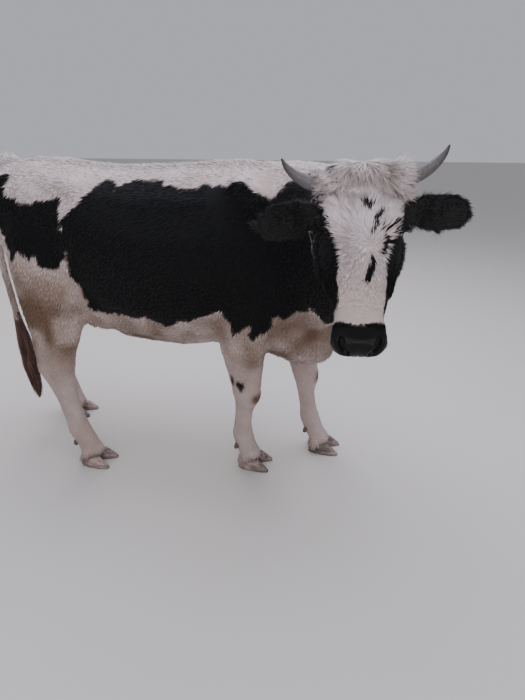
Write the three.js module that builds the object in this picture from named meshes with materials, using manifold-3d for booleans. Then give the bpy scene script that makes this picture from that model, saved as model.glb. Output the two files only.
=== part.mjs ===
// A black-and-white horned cow, life size, standing still with its head turned to its right.
// Millimetres, +Z up, +X towards the chest, +Y to the cow's left. The body is first built with
// its origin on the ground under the tail head, and the whole group is then moved so that the
// origin is on the ground in the middle of the animal.
import * as THREE from "three";
import { ParametricGeometry } from "three/addons/geometries/ParametricGeometry.js";
import { mergeVertices } from "three/addons/utils/BufferGeometryUtils.js";
import Module from "manifold-3d";

const wasm = await Module();
wasm.setup();

// ---------- driving dimensions ----------
const BACK_HEIGHT = 1320; // top of the withers
const GAP = 0.5; // clearance between two solids that touch
const EYE_RADIUS = 19.5;
const EYE_PLACE = [136, 102, -40]; // in the head's frame, the left one
const HORN_RADIUS = 21;
const EAR_LENGTH = 238; // with the part of it that is rooted in the head
const EAR_HALF_WIDTH = 56;
const EAR_DROOP = 14; // how far the tip bends back
const HOOF_LENGTH = 150;
const HOOF_FRONT_HEIGHT = 54;
const HOOF_HEEL_HEIGHT = 30;
const HOOF_HALF_WIDTH = 25;
const SWITCH_TOP = 590; // where the long hair of the tail begins
const LINK_LENGTH = 68; // outside length of one chain link
const LINK_HALF_WIDTH = 17;
const LINK_WIRE = 3.6; // radius of the link's wire

// The head hangs from its crown. Its own frame runs +X down the face to the muzzle, +Y to the
// cow's left and +Z out of the forehead.
const CROWN = [1487, -545, 1315];
const HEAD_YAW = -81; // degrees: 0 looks along the trunk
const HEAD_NOD = 60; // degrees that the face points below level
const HEAD_ROLL = 0;

// ---------- materials ----------
const finish = (color, roughness, metalness = 0) =>
  new THREE.MeshStandardMaterial({ color, roughness, metalness });
const COAT_BLACK = finish(0x15161a, 0.75);
const COAT_WHITE = finish(0xc9c0bb, 0.85);
const MUZZLE_SKIN = finish(0x1d1a1c, 0.4);
const HORN = finish(0x827d80, 0.45);
const HOOF = finish(0x8a7568, 0.55);
const EYE = finish(0x120c08, 0.08);
const SWITCH_HAIR = finish(0x3a2621, 0.85);
const UDDER_SKIN = finish(0xc9a596, 0.6);
const STEEL = finish(0x8d9096, 0.45, 0.9);

// ---------- solids and meshes ----------
// A closed geometry as a solid: shared vertices merged, collapsed triangles at the poles dropped.
function solid(geometry) {
  const bare = geometry.clone();
  bare.deleteAttribute("normal");
  bare.deleteAttribute("uv");
  const merged = mergeVertices(bare, 1e-3);
  const corners = merged.index.array;
  const kept = [];
  for (let i = 0; i < corners.length; i += 3) {
    const [a, b, c] = [corners[i], corners[i + 1], corners[i + 2]];
    if (a !== b && b !== c && a !== c) kept.push(a, b, c);
  }
  const made = new wasm.Manifold(
    new wasm.Mesh({
      numProp: 3,
      vertProperties: merged.attributes.position.array,
      triVerts: new Uint32Array(kept),
    }),
  );
  if (made.volume() < 0) throw new Error("a solid is inside out");
  return made;
}

function geometryOf(made) {
  const mesh = made.getMesh();
  const places = new Float32Array(mesh.numVert * 3);
  for (let i = 0; i < mesh.numVert; i++) {
    const start = i * mesh.numProp;
    places.set(mesh.vertProperties.subarray(start, start + 3), i * 3);
  }
  const geometry = new THREE.BufferGeometry();
  geometry.setAttribute("position", new THREE.BufferAttribute(places, 3));
  geometry.setIndex(new THREE.BufferAttribute(mesh.triVerts, 1));
  geometry.computeVertexNormals();
  return geometry;
}

const joined = (first, ...others) => others.reduce((sum, s) => sum.add(s), first);
const without = (first, ...others) => others.reduce((rest, s) => rest.subtract(s), first);

const cow = new THREE.Group();

function node(name, made, material) {
  const mesh = new THREE.Mesh(geometryOf(made), material);
  mesh.name = name;
  cow.add(mesh);
}

// ---------- lofts ----------
// Smooth value of a list at t from 0 to 1: a Catmull-Rom curve that never overshoots its points.
function along(values, t) {
  const last = values.length - 1;
  const place = Math.min(Math.max(t, 0), 1) * last;
  const i = Math.min(Math.floor(place), last - 1);
  const f = place - i;
  const slope = (k) => {
    if (k <= 0 || k >= last) return 0;
    const [before, after] = [values[k] - values[k - 1], values[k + 1] - values[k]];
    if (before * after <= 0) return 0;
    return (2 * before * after) / (before + after);
  };
  const [a, b] = [values[i], values[i + 1]];
  const [f2, f3] = [f * f, f * f * f];
  const start = (2 * f3 - 3 * f2 + 1) * a + (f3 - 2 * f2 + f) * slope(i);
  return start + (3 * f2 - 2 * f3) * b + (f3 - f2) * slope(i + 1);
}

// One column of a station table as a smooth function of t.
const column = (table, k) => {
  const values = table.map((row) => row[k]);
  return (t) => along(values, t);
};

const bulge = (value, fullness) =>
  Math.sign(value) * Math.abs(value) ** (2 / fullness);

// A closed skin through oval sections. section(t) gives its centre, the two directions it lies
// in, its half width, its reach up and down, and how full its upper and lower halves are
// (2 is an ellipse, less is a roof, more is a box).
function loft(section, around, rings, extra = 0) {
  const at = new THREE.Vector3();
  return new ParametricGeometry(
    (u, v, target) => {
      const s = section(v);
      const angle = u * 2 * Math.PI;
      const [c, r] = [Math.cos(angle), Math.sin(angle)];
      const open = v > 1e-6 && v < 1 - 1e-6 ? 1 : 0; // the two ends close to a point
      const upper = r > 0;
      const reach = (upper ? s.up : s.down) + extra;
      at.copy(s.centre);
      at.addScaledVector(s.side, open * (s.half + extra) * bulge(c, s.sideFull ?? 2));
      at.addScaledVector(s.rise, open * reach * bulge(r, upper ? s.upFull : s.downFull));
      target.copy(at);
    },
    around,
    rings,
  );
}

const X = new THREE.Vector3(1, 0, 0);
const Y = new THREE.Vector3(0, 1, 0);
const Z = new THREE.Vector3(0, 0, 1);
const vector = (p) => new THREE.Vector3(...p);

// Turns a geometry's faces round if its loft ran the other way.
function outward(geometry) {
  const index = geometry.index.array;
  const places = geometry.attributes.position;
  const [a, b, c] = [new THREE.Vector3(), new THREE.Vector3(), new THREE.Vector3()];
  let volume = 0;
  for (let i = 0; i < index.length; i += 3) {
    a.fromBufferAttribute(places, index[i]);
    b.fromBufferAttribute(places, index[i + 1]);
    c.fromBufferAttribute(places, index[i + 2]);
    volume += a.dot(b.cross(c));
  }
  if (volume < 0) {
    for (let i = 0; i < index.length; i += 3) {
      [index[i + 1], index[i + 2]] = [index[i + 2], index[i + 1]];
    }
  }
  return geometry;
}

const skin = (section, around, rings, extra) =>
  solid(outward(loft(section, around, rings, extra)));

// A place on the left side of the body or head, moved to the side given: 1 left, -1 right.
const mirrorY = (p, side) => [p[0], side * p[1], p[2]];

// An egg of flesh: half sizes along X, Y and Z, turned about Y by tilt degrees.
function egg(centre, halves, tilt = 0, width = 8, height = 5) {
  const ball = new THREE.SphereGeometry(1, width, height);
  ball.scale(...halves);
  ball.rotateY(THREE.MathUtils.degToRad(tilt));
  ball.translate(...centre);
  return solid(ball);
}

// ---------- trunk ----------
// x, top, height of the widest place, bottom, half width, fullness above and below
const TRUNK = [
  [-92, 1150, 1140, 1130, 2, 2, 2],
  [-84, 1228, 1150, 1050, 92, 2.1, 2.0],
  [-45, 1278, 1160, 930, 165, 2.2, 2.0],
  [40, 1304, 1150, 850, 212, 2.1, 2.0],
  [160, 1319, 1140, 790, 242, 2.0, 2.0],
  [290, 1315, 1120, 730, 258, 1.95, 2.0],
  [400, 1302, 1060, 622, 268, 1.9, 2.1],
  [520, 1294, 970, 572, 300, 1.85, 2.1],
  [660, 1298, 930, 568, 328, 1.8, 2.15],
  [800, 1305, 920, 566, 330, 1.8, 2.15],
  [920, 1314, 910, 584, 303, 1.75, 2.1],
  [1030, BACK_HEIGHT, 900, 580, 262, 1.65, 2.0],
  [1140, 1306, 880, 536, 228, 1.65, 1.9],
  [1250, 1235, 840, 496, 198, 1.8, 1.8],
  [1340, 1130, 800, 498, 155, 2.0, 1.8],
  [1390, 1010, 770, 556, 105, 2.0, 1.9],
  [1412, 800, 770, 740, 5, 2, 2],
];

function trunkSection(t) {
  const [x, top, wide, low, half, upFull, downFull] = TRUNK[0].map((_, k) =>
    column(TRUNK, k)(t),
  );
  return {
    centre: new THREE.Vector3(x, 0, wide),
    side: Y,
    rise: Z,
    half,
    up: top - wide,
    down: wide - low,
    upFull,
    downFull,
  };
}

// place, half sizes and tilt of what stands out under the hide, for the left side
const TRUNK_BUMPS = [
  [[350, 172, 1196], [130, 66, 76], 8], // hip bone
  [[1050, 148, 1065], [150, 72, 222], -8], // shoulder blade
  [[1200, 155, 870], [130, 72, 130], 20], // point of the shoulder
  [[440, 165, 735], [110, 52, 92], 30], // flank fold
];

function trunkWhole() {
  const parts = [skin(trunkSection, 16, 16)];
  for (const side of [-1, 1]) {
    for (const [place, halves, tilt] of TRUNK_BUMPS) {
      parts.push(egg(mirrorY(place, side), halves, tilt));
    }
  }
  return joined(...parts);
}

// ---------- legs ----------
// Leg sections lie level. height, reach forwards, reach back, half width, fullness
const HIND_LEG = [
  [1235, 40, 40, 20, 2],
  [1205, 120, 110, 60, 2],
  [1120, 172, 150, 92, 2.2],
  [1000, 192, 163, 108, 2.3],
  [890, 196, 172, 108, 2.3],
  [790, 182, 172, 98, 2.3],
  [700, 146, 150, 80, 2.2],
  [620, 122, 122, 66, 2.1],
  [545, 104, 104, 55, 2.1],
  [480, 92, 98, 51, 2.2],
  [425, 74, 78, 48, 2.3],
  [370, 60, 60, 43, 2.2],
  [310, 50, 52, 38, 2.1],
  [240, 49, 52, 37, 2.1],
  [185, 53, 58, 42, 2.2],
  [145, 57, 62, 47, 2.3],
  [105, 56, 58, 46, 2.3],
  [75, 53, 58, 50, 2.4],
  [46, 47, 57, 51, 2.4],
  [29, 36, 36, 34, 2],
  [25, 5, 5, 5, 2],
];
const FRONT_LEG = [
  [860, 20, 20, 15, 2],
  [840, 90, 95, 50, 2],
  [770, 122, 128, 76, 2.2],
  [690, 112, 126, 80, 2.2],
  [610, 94, 108, 71, 2.2],
  [530, 80, 92, 60, 2.2],
  [460, 70, 82, 53, 2.2],
  [405, 62, 72, 50, 2.3],
  [365, 55, 62, 51, 2.4],
  [325, 43, 52, 44, 2.3],
  [285, 36, 47, 37, 2.2],
  [230, 36, 46, 36, 2.2],
  [185, 42, 52, 41, 2.2],
  [145, 45, 60, 46, 2.3],
  [105, 44, 58, 45, 2.3],
  [75, 46, 58, 50, 2.4],
  [46, 44, 57, 51, 2.4],
  [29, 36, 36, 34, 2],
  [25, 5, 5, 5, 2],
];

const THIGH_ARCH = { middle: 142, half: 290, spring: 760, rise: 340, inner: 60 };

// Each leg: the line of its bones from the top joint to the hoof, as x, y and height, the arch
// that parts it from the body, the height of the belly there, and of the joint that parts it.
const LEGS = {
  hind_right: {
    table: HIND_LEG,
    side: -1,
    arch: THIGH_ARCH,
    belly: 560,
    parting: 500,
    bone: [
      [200, -140, 1240],
      [204, -150, 1000],
      [246, -172, 780],
      [236, -196, 620],
      [222, -205, 480],
      [240, -202, 370],
      [268, -196, 240],
      [290, -190, 145],
      [326, -186, 75],
      [346, -184, 30],
    ],
  },
  hind_left: {
    table: HIND_LEG,
    side: 1,
    arch: THIGH_ARCH,
    belly: 560,
    parting: 500,
    bone: [
      [185, 140, 1240],
      [172, 150, 1000],
      [180, 176, 780],
      [78, 204, 620],
      [-48, 220, 480],
      [-52, 222, 370],
      [-42, 222, 240],
      [-28, 222, 145],
      [-2, 222, 75],
      [17, 222, 30],
    ],
  },
  front_right: {
    table: FRONT_LEG,
    side: -1,
    arch: { middle: 1065, half: 152, spring: 640, rise: 190, inner: 66 },
    belly: 528,
    parting: 405,
    bone: [
      [1075, -178, 860],
      [1062, -174, 760],
      [1046, -150, 620],
      [1046, -118, 460],
      [1044, -98, 365],
      [1026, -80, 285],
      [1014, -62, 185],
      [1017, -56, 140],
      [1042, -49, 75],
      [1053, -46, 30],
    ],
  },
  front_left: {
    table: FRONT_LEG,
    side: 1,
    arch: { middle: 1145, half: 165, spring: 640, rise: 190, inner: 66 },
    belly: 528,
    parting: 405,
    bone: [
      [1120, 172, 860],
      [1140, 172, 760],
      [1190, 168, 620],
      [1236, 160, 460],
      [1258, 156, 365],
      [1262, 155, 285],
      [1280, 155, 185],
      [1290, 155, 140],
      [1326, 155, 75],
      [1344, 155, 30],
    ],
  },
};

// x and y of the bone line at a height.
function bonePlace(bone, height) {
  const clamped = Math.min(Math.max(height, bone.at(-1)[2]), bone[0][2]);
  const next = Math.max(bone.findIndex(([, , z]) => z <= clamped), 1);
  const [above, below] = [bone[next - 1], bone[next]];
  const share = (above[2] - clamped) / (above[2] - below[2]);
  const t = (next - 1 + share) / (bone.length - 1);
  return [column(bone, 0)(t), column(bone, 1)(t)];
}

function legSection({ table, bone }) {
  return (t) => {
    const [height, fore, aft, half, full] = table[0].map((_, k) => column(table, k)(t));
    const [x, y] = bonePlace(bone, height);
    return {
      centre: new THREE.Vector3(x, y, height),
      side: Y,
      rise: X,
      half,
      up: fore,
      down: aft,
      upFull: full,
      downFull: full,
    };
  };
}

// ---------- hooves ----------
const CLAW_HEEL = 0.39; // how far the heel lies behind the middle of the foot, in hoof lengths
const CLAW_APART = 2.5; // from the middle of the foot to the inner wall of each claw
const HOOF_SLOPE = (HOOF_FRONT_HEIGHT - HOOF_HEEL_HEIGHT) / HOOF_LENGTH;

// One claw, seen with its toe along +X and its flat inner wall towards -Y (sign 1) or +Y (-1).
// Its sole is level and its upper edge, the coronet, slopes down to the heel.
function clawSection(sign) {
  const OUTLINE = [
    // share of the height, reach to the toe, reach to the heel, half width
    [0, 1, 1, 1],
    [0, 1, 0.97, 1],
    [0.15, 0.95, 1, 1.04],
    [0.55, 0.69, 0.95, 1.0],
    [0.97, 0.42, 0.82, 0.86],
    [1, 0.22, 0.3, 0.5],
  ];
  return (t) => {
    const [share, toe, heel, wide] = OUTLINE[0].map((_, k) => column(OUTLINE, k)(t));
    const middle = (HOOF_FRONT_HEIGHT + HOOF_HEEL_HEIGHT) / 2;
    const slope = HOOF_SLOPE * share;
    return {
      centre: new THREE.Vector3(0, sign * (HOOF_HALF_WIDTH + CLAW_APART), share * middle),
      side: Y,
      rise: new THREE.Vector3(1, 0, slope),
      half: HOOF_HALF_WIDTH * wide,
      up: HOOF_LENGTH * (1 - CLAW_HEEL) * toe,
      down: HOOF_LENGTH * CLAW_HEEL * heel,
      upFull: 1.75,
      downFull: 2.3,
      sideFull: 2.2,
    };
  };
}

const CORONET = 2; // clearance between the flesh and the claws, whose tops turn with their splay
const CLAW_SPLAY = 8; // degrees that each claw turns out about its heel
const PASTERN_HEIGHT = 40; // where the line of the bones meets the claws
const DEWCLAW_HEIGHT = 106;
const DEWCLAW_BACK = 44; // behind the middle of the fetlock
const DEWCLAW_APART = 48;

function claw(sign, place) {
  const shape = outward(loft(clawSection(sign), 10, 5));
  const heel = HOOF_LENGTH * CLAW_HEEL;
  shape.translate(heel, 0, 0);
  shape.rotateZ(THREE.MathUtils.degToRad(sign * CLAW_SPLAY));
  shape.translate(place[0] - heel, place[1], place[2]);
  return solid(shape);
}

// A dewclaw: a blunt cone behind the fetlock, pointing down and back.
function dewclaw(place, sign, extra = 0) {
  const profile = [
    [0, -19],
    [12, -15],
    [13.5, 0],
    [9, 15],
    [0, 20],
  ].map(([r, h]) => new THREE.Vector2(r > 0 ? r + extra : 0, h + Math.sign(h) * extra));
  const cone = new THREE.LatheGeometry(profile, 5);
  cone.rotateX(-Math.PI / 2);
  cone.rotateY(THREE.MathUtils.degToRad(25));
  cone.rotateZ(THREE.MathUtils.degToRad(sign * 12));
  cone.translate(...place);
  return solid(outward(cone));
}

// The flesh of a limb ends on the sloping tops of its claws.
function limbWhole(leg) {
  const limb = skin(legSection(leg), 9, leg.table.length - 6);
  const [x, y] = bonePlace(leg.bone, PASTERN_HEIGHT);
  const top = (HOOF_FRONT_HEIGHT + HOOF_HEEL_HEIGHT) / 2 + CORONET;
  return limb.intersect(beyond([x, y, top], [-HOOF_SLOPE, 0, 1]));
}

// The two claws of a foot, the right one first.
function claws(leg) {
  const [x, y] = bonePlace(leg.bone, PASTERN_HEIGHT);
  return [-1, 1].map((sign) => claw(sign, [x, y, 0]));
}

// The two dewclaws of a foot, the right one first.
function dewclaws(leg, extra = 0) {
  const [x, y] = bonePlace(leg.bone, DEWCLAW_HEIGHT);
  return [-1, 1].map((sign) => {
    const place = [x - DEWCLAW_BACK, y + (sign * DEWCLAW_APART) / 2, DEWCLAW_HEIGHT];
    return dewclaw(place, sign, extra);
  });
}

// ---------- tail ----------
// x, height, half width, reach back
const TAIL = [
  [60, 1262, 10, 8],
  [30, 1284, 40, 26],
  [-30, 1296, 42, 32],
  [-88, 1276, 36, 33],
  [-122, 1210, 31, 30],
  [-132, 1100, 26, 26],
  [-130, 960, 22, 22],
  [-118, 820, 19, 19],
  [-104, 700, 18, 18],
  [-92, SWITCH_TOP, 20, 20],
  [-84, 520, 32, 30],
  [-76, 440, 38, 34],
  [-68, 360, 36, 32],
  [-60, 290, 27, 25],
  [-53, 235, 15, 15],
  [-50, 200, 4, 4],
];

function tailSection(t) {
  const [x, z] = [column(TAIL, 0), column(TAIL, 1)];
  const step = 0.01;
  const [a, b] = [Math.max(t - step, 0), Math.min(t + step, 1)];
  const heading = new THREE.Vector3(x(b) - x(a), 0, z(b) - z(a)).normalize();
  return {
    centre: new THREE.Vector3(x(t), 0, z(t)),
    side: Y,
    rise: new THREE.Vector3().crossVectors(Y, heading).normalize(),
    half: column(TAIL, 2)(t),
    up: column(TAIL, 3)(t),
    down: column(TAIL, 3)(t),
    upFull: 2,
    downFull: 2,
  };
}

const tailWhole = (extra = 0) => skin(tailSection, 8, 16, extra);

// ---------- head ----------
// x along the face, profile of the face, height of the widest place, jaw line, half width,
// fullness above and below
const HEAD = [
  [-46, -72, -80, -90, 4, 2, 2],
  [-38, -32, -80, -128, 58, 2.2, 2],
  [-12, -4, -78, -160, 84, 2.4, 2.1],
  [30, 10, -76, -188, 94, 2.6, 2.2],
  [85, 9, -72, -208, 97, 2.7, 2.3],
  [140, 3, -62, -220, 104, 2.7, 2.3],
  [190, -6, -80, -222, 105, 2.5, 2.4],
  [240, -17, -98, -208, 103, 2.4, 2.4],
  [295, -28, -100, -186, 90, 2.4, 2.4],
  [345, -38, -98, -168, 76, 2.5, 2.4],
  [385, -45, -98, -158, 71, 2.6, 2.5],
  [418, -50, -98, -154, 75, 2.7, 2.6],
  [444, -56, -100, -150, 78, 2.8, 2.6],
  [466, -68, -102, -140, 71, 2.7, 2.5],
  [479, -88, -104, -122, 46, 2.4, 2.3],
  [482, -100, -104, -108, 4, 2, 2],
];

function headSection(t) {
  const [x, top, wide, low, half, upFull, downFull] = HEAD[0].map((_, k) =>
    column(HEAD, k)(t),
  );
  return {
    centre: new THREE.Vector3(x, 0, wide),
    side: Y,
    rise: Z,
    half,
    up: top - wide,
    down: wide - low,
    upFull,
    downFull,
  };
}

const headPlace = new THREE.Matrix4().compose(
  vector(CROWN),
  new THREE.Quaternion().setFromEuler(
    new THREE.Euler(
      THREE.MathUtils.degToRad(HEAD_ROLL),
      THREE.MathUtils.degToRad(HEAD_NOD),
      THREE.MathUtils.degToRad(HEAD_YAW),
      "ZYX",
    ),
  ),
  new THREE.Vector3(1, 1, 1),
);
const onHead = (made) => made.transform(headPlace.elements);
const fromHead = (p) => vector(p).applyMatrix4(headPlace);
const headWay = (p) => vector(p).transformDirection(headPlace);

// place, half sizes and tilt of the flesh that stands out of the head, for the left side
const HEAD_BUMPS = [
  [[126, 76, -20], [58, 28, 26], 0], // brow
  [[194, 81, -132], [96, 45, 64], 16], // cheek muscle
  [[440, 46, -92], [30, 34, 34], 0], // wing of the nostril
  [[16, 82, -36], [44, 40, 40], 0], // root of the horn
];
const POLL = [[-6, 0, -34], [46, 100, 46]]; // the crown under its forelock

function headWhole(extra = 0) {
  const grown = (halves) => halves.map((half) => half + extra);
  const parts = [skin(headSection, 14, 15, extra), egg(POLL[0], grown(POLL[1]))];
  for (const side of [-1, 1]) {
    for (const [place, halves, tilt] of HEAD_BUMPS) {
      parts.push(egg(mirrorY(place, side), grown(halves), tilt, 7, 5));
    }
  }
  return joined(...parts);
}

function eyeball(side, extra = 0) {
  const ball = new THREE.SphereGeometry(EYE_RADIUS + extra, 9, 6);
  ball.translate(...mirrorY(EYE_PLACE, side));
  return onHead(solid(ball));
}

// A nostril: a comma-shaped hollow in the front of the nose.
function nostril(side) {
  return onHead(egg([466, side * 40, -86], [24, 13, 11], 25));
}

// A horn leaves the crown sideways, then sweeps up to a blunt point. The left one rises more.
const HORN_LINES = {
  left: [
    [12, 84, -34],
    [8, 114, -32],
    [0, 148, -22],
    [-16, 180, -4],
    [-37, 202, 12],
    [-57, 213, 22],
  ],
  right: [
    [26, 84, -34],
    [28, 114, -32],
    [25, 148, -24],
    [13, 181, -10],
    [-5, 206, 2],
    [-24, 219, 10],
  ],
};

function hornCurve(side) {
  const line = side > 0 ? HORN_LINES.left : HORN_LINES.right;
  return new THREE.CatmullRomCurve3(line.map((p) => fromHead(mirrorY(p, side))));
}

function horn(side, extra = 0) {
  const curve = hornCurve(side);
  const TAPER = [1.04, 1.05, 1.02, 0.96, 0.87, 0.77, 0.64, 0.46, 0.1];
  const section = (t) => {
    const place = Math.min(Math.max(t, 0), 1);
    const heading = curve.getTangentAt(place);
    const sideways = new THREE.Vector3().crossVectors(heading, headWay([0, 0, 1]));
    sideways.normalize();
    return {
      centre: curve.getPointAt(place),
      side: sideways,
      rise: new THREE.Vector3().crossVectors(sideways, heading),
      half: HORN_RADIUS * along(TAPER, t),
      up: HORN_RADIUS * along(TAPER, t),
      down: HORN_RADIUS * along(TAPER, t),
      upFull: 2,
      downFull: 2,
    };
  };
  return skin(section, 8, 8, extra);
}

// An ear: a cupped leaf on a short round stalk, level and a little behind the eye.
// half width, half thickness, depth of the cup
const EAR = [
  [3, 3, 0],
  [24, 20, 0],
  [29, 19, 4],
  [41, 15, 12],
  [52, 12, 20],
  [EAR_HALF_WIDTH, 11, 23],
  [57, 10, 22],
  [55, 9, 18],
  [49, 8, 12],
  [36, 7, 6],
  [3, 3, 0],
];
const EAR_ROOT = [82, 80, -82];
// the right one droops and lies further back
const EAR_WAYS = { left: [-0.03, 1, -0.08], right: [0.09, 1, -0.36] };
const EAR_OPENS = [0.42, 0.1, 0.9]; // the way that the cup faces

function ear(side, extra = 0) {
  const way = headWay(mirrorY(side > 0 ? EAR_WAYS.left : EAR_WAYS.right, side));
  const across = new THREE.Vector3()
    .crossVectors(way, headWay(mirrorY(EAR_OPENS, side)))
    .normalize();
  const opens = new THREE.Vector3().crossVectors(across, way).normalize();
  const root = fromHead(mirrorY(EAR_ROOT, side));
  const [half, thick, cup] = [0, 1, 2].map((k) => column(EAR, k));
  const leaf = new ParametricGeometry(
    (u, v, target) => {
      const angle = u * 2 * Math.PI;
      const open = v > 1e-6 && v < 1 - 1e-6 ? 1 : 0;
      const c = Math.cos(angle);
      const droop = -EAR_DROOP * v * v;
      target.copy(root).addScaledVector(way, EAR_LENGTH * v);
      target.addScaledVector(across, open * (half(v) + extra) * c);
      const sink = -cup(v) * (1 - c * c) + droop;
      target.addScaledVector(opens, open * (thick(v) + extra) * Math.sin(angle) + sink);
    },
    9,
    10,
  );
  return solid(outward(leaf));
}

// ---------- neck ----------
// The middle of the neck from inside the chest to inside the skull: place, reach up and down,
// half width
const NECK = [
  [[1000, 10, 960], 60, 60, 30],
  [[1060, 2, 965], 270, 300, 150],
  [[1180, -38, 985], 342, 330, 168],
  [[1300, -118, 1030], 312, 318, 152],
  [[1394, -228, 1082], 252, 268, 134],
  [[1448, -338, 1132], 190, 206, 122],
  [[1474, -428, 1160], 144, 160, 110],
  [[1482, -500, 1176], 110, 120, 92],
  [[1484, -530, 1184], 12, 12, 10],
];

function neckSection(t) {
  const [x, y, z] = [0, 1, 2].map((k) => (s) => along(NECK.map((row) => row[0][k]), s));
  const step = 0.02;
  const [a, b] = [Math.max(t - step, 0), Math.min(t + step, 1)];
  const heading = new THREE.Vector3(x(b) - x(a), y(b) - y(a), z(b) - z(a)).normalize();
  const side = new THREE.Vector3().crossVectors(Z, heading).normalize();
  return {
    centre: new THREE.Vector3(x(t), y(t), z(t)),
    side,
    rise: new THREE.Vector3().crossVectors(heading, side).normalize(),
    half: column(NECK, 3)(t),
    up: column(NECK, 1)(t),
    down: column(NECK, 2)(t),
    upFull: 1.75,
    downFull: 1.8,
  };
}

// ---------- udder ----------
const UDDER_BAGS = [
  [[212, 8, 712], [118, 92, 88]],
  [[154, 8, 750], [92, 88, 100]],
];
const TEATS = [
  [160, -40],
  [160, 56],
  [262, -40],
  [262, 58],
];
const TEAT_HEIGHT = 630;
// radius and height above the middle of the teat
const TEAT = [
  [0, -44],
  [7.5, -41],
  [10, -28],
  [12, 14],
  [0, 34],
];

function udderWhole(extra = 0) {
  const grown = (halves) => halves.map((half) => half + extra);
  const parts = UDDER_BAGS.map(([place, halves]) => egg(place, grown(halves)));
  for (const [x, y] of TEATS) {
    const profile = TEAT.map(([r, h]) => new THREE.Vector2(r > 0 ? r + extra : 0, h));
    const teat = new THREE.LatheGeometry(profile, 5);
    teat.rotateX(Math.PI / 2);
    teat.translate(x, y, TEAT_HEIGHT);
    parts.push(solid(outward(teat)));
  }
  return joined(...parts);
}

// ---------- neck chain ----------
const CHAIN_PLACE = 0.7; // where round the neck, as a share of its length
const BITE = 1; // how far each link's three-sided wire is let into the next one's
const LINK_PITCH = LINK_LENGTH - 3 * LINK_WIRE + BITE;
const CHAIN_LIFT = LINK_HALF_WIDTH * 0.75 + 3.5; // middle of the chain off the coat
const LOOP_POINTS = 72;

// The closed line that the chain's middle follows, a little off the coat.
function chainLoop() {
  const s = neckSection(CHAIN_PLACE);
  const points = Array.from({ length: LOOP_POINTS }, (_, i) => {
    const angle = (i / LOOP_POINTS) * 2 * Math.PI;
    const [c, r] = [Math.cos(angle), Math.sin(angle)];
    const reach = (r > 0 ? s.up : s.down) + CHAIN_LIFT;
    return s.centre
      .clone()
      .addScaledVector(s.side, (s.half + CHAIN_LIFT) * bulge(c, 2))
      .addScaledVector(s.rise, reach * bulge(r, r > 0 ? s.upFull : s.downFull));
  });
  return { centre: s.centre, loop: new THREE.CatmullRomCurve3(points, true) };
}

// One link: round wire bent to a stadium that lies in the plane of way and broad.
function chainLink(centre, way, broad) {
  const thin = new THREE.Vector3().crossVectors(way, broad);
  const bend = LINK_HALF_WIDTH - LINK_WIRE;
  const straight = LINK_LENGTH / 2 - LINK_HALF_WIDTH;
  const link = new ParametricGeometry(
    (u, v, target) => {
      const angle = u * 2 * Math.PI;
      const [c, r] = [Math.cos(angle), Math.sin(angle)];
      const wire = v * 2 * Math.PI;
      const out = bend + LINK_WIRE * Math.cos(wire);
      target.copy(centre);
      target.addScaledVector(way, out * c + Math.sign(c) * straight);
      target.addScaledVector(broad, out * r);
      target.addScaledVector(thin, LINK_WIRE * Math.sin(wire));
    },
    6,
    3,
  );
  return solid(outward(link));
}

function chain() {
  const { centre, loop } = chainLoop();
  const count = 2 * Math.floor(loop.getLength() / LINK_PITCH / 2);
  const links = Array.from({ length: count }, (_, i) => {
    const way = loop.getTangentAt(i / count);
    const middle = loop.getPointAt(i / count);
    const out = middle.clone().sub(centre);
    out.addScaledVector(way, -out.dot(way)).normalize();
    const flat = new THREE.Vector3().crossVectors(out, way).normalize();
    // Neighbouring links lie crosswise, each at 45 degrees to the neck.
    const lean = ((i % 2 ? 1 : -1) * Math.PI) / 4;
    flat.multiplyScalar(Math.cos(lean)).addScaledVector(out, Math.sin(lean));
    return chainLink(middle, way, flat);
  });
  return joined(...links);
}

// ---------- parting the whole animal ----------
const FAR = 4000;

// All that lies beyond a plane through a point, starting extra millimetres past it.
function beyond(point, way, extra = 0) {
  const box = new THREE.BoxGeometry(FAR, FAR, FAR);
  box.translate(0, 0, FAR / 2 + extra);
  box.applyQuaternion(
    new THREE.Quaternion().setFromUnitVectors(Z, vector(way).normalize()),
  );
  box.translate(...point);
  return solid(box);
}

// Splits a solid with a thin cut: [what is beyond the plane, what is before it].
const split = (made, point, way) => [
  largest(made.intersect(beyond(point, way, GAP / 2))),
  largest(made.subtract(beyond(point, way, -GAP / 2))),
];

const largest = (made) =>
  made.decompose().reduce((best, s) => (s.volume() > best.volume() ? s : best));

// The zone that a leg takes from the body: an arch over the thigh or shoulder on one side, and
// everything on that side below the belly.
function legZone({ side, arch, belly }, extra = 0) {
  const { middle, half, spring, rise } = arch;
  const outline = new THREE.Shape();
  outline.moveTo(middle + half + extra, -100);
  outline.lineTo(middle + half + extra, spring);
  outline.absellipse(middle, spring, half + extra, rise + extra, 0, Math.PI);
  outline.lineTo(middle - half - extra, -100);
  outline.closePath();
  const inner = arch.inner - extra;
  const options = { depth: 500 - inner, bevelEnabled: false, curveSegments: 6 };
  const over = new THREE.ExtrudeGeometry(outline, options);
  over.rotateX(Math.PI / 2);
  over.translate(0, side > 0 ? 500 : -inner, 0);
  const under = new THREE.BoxGeometry(900, 500, belly + 100 + extra);
  under.translate(middle, side * 255, (belly + extra - 100) / 2);
  return solid(over).add(solid(under));
}

const BOTH = { right: -1, left: 1 };

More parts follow.
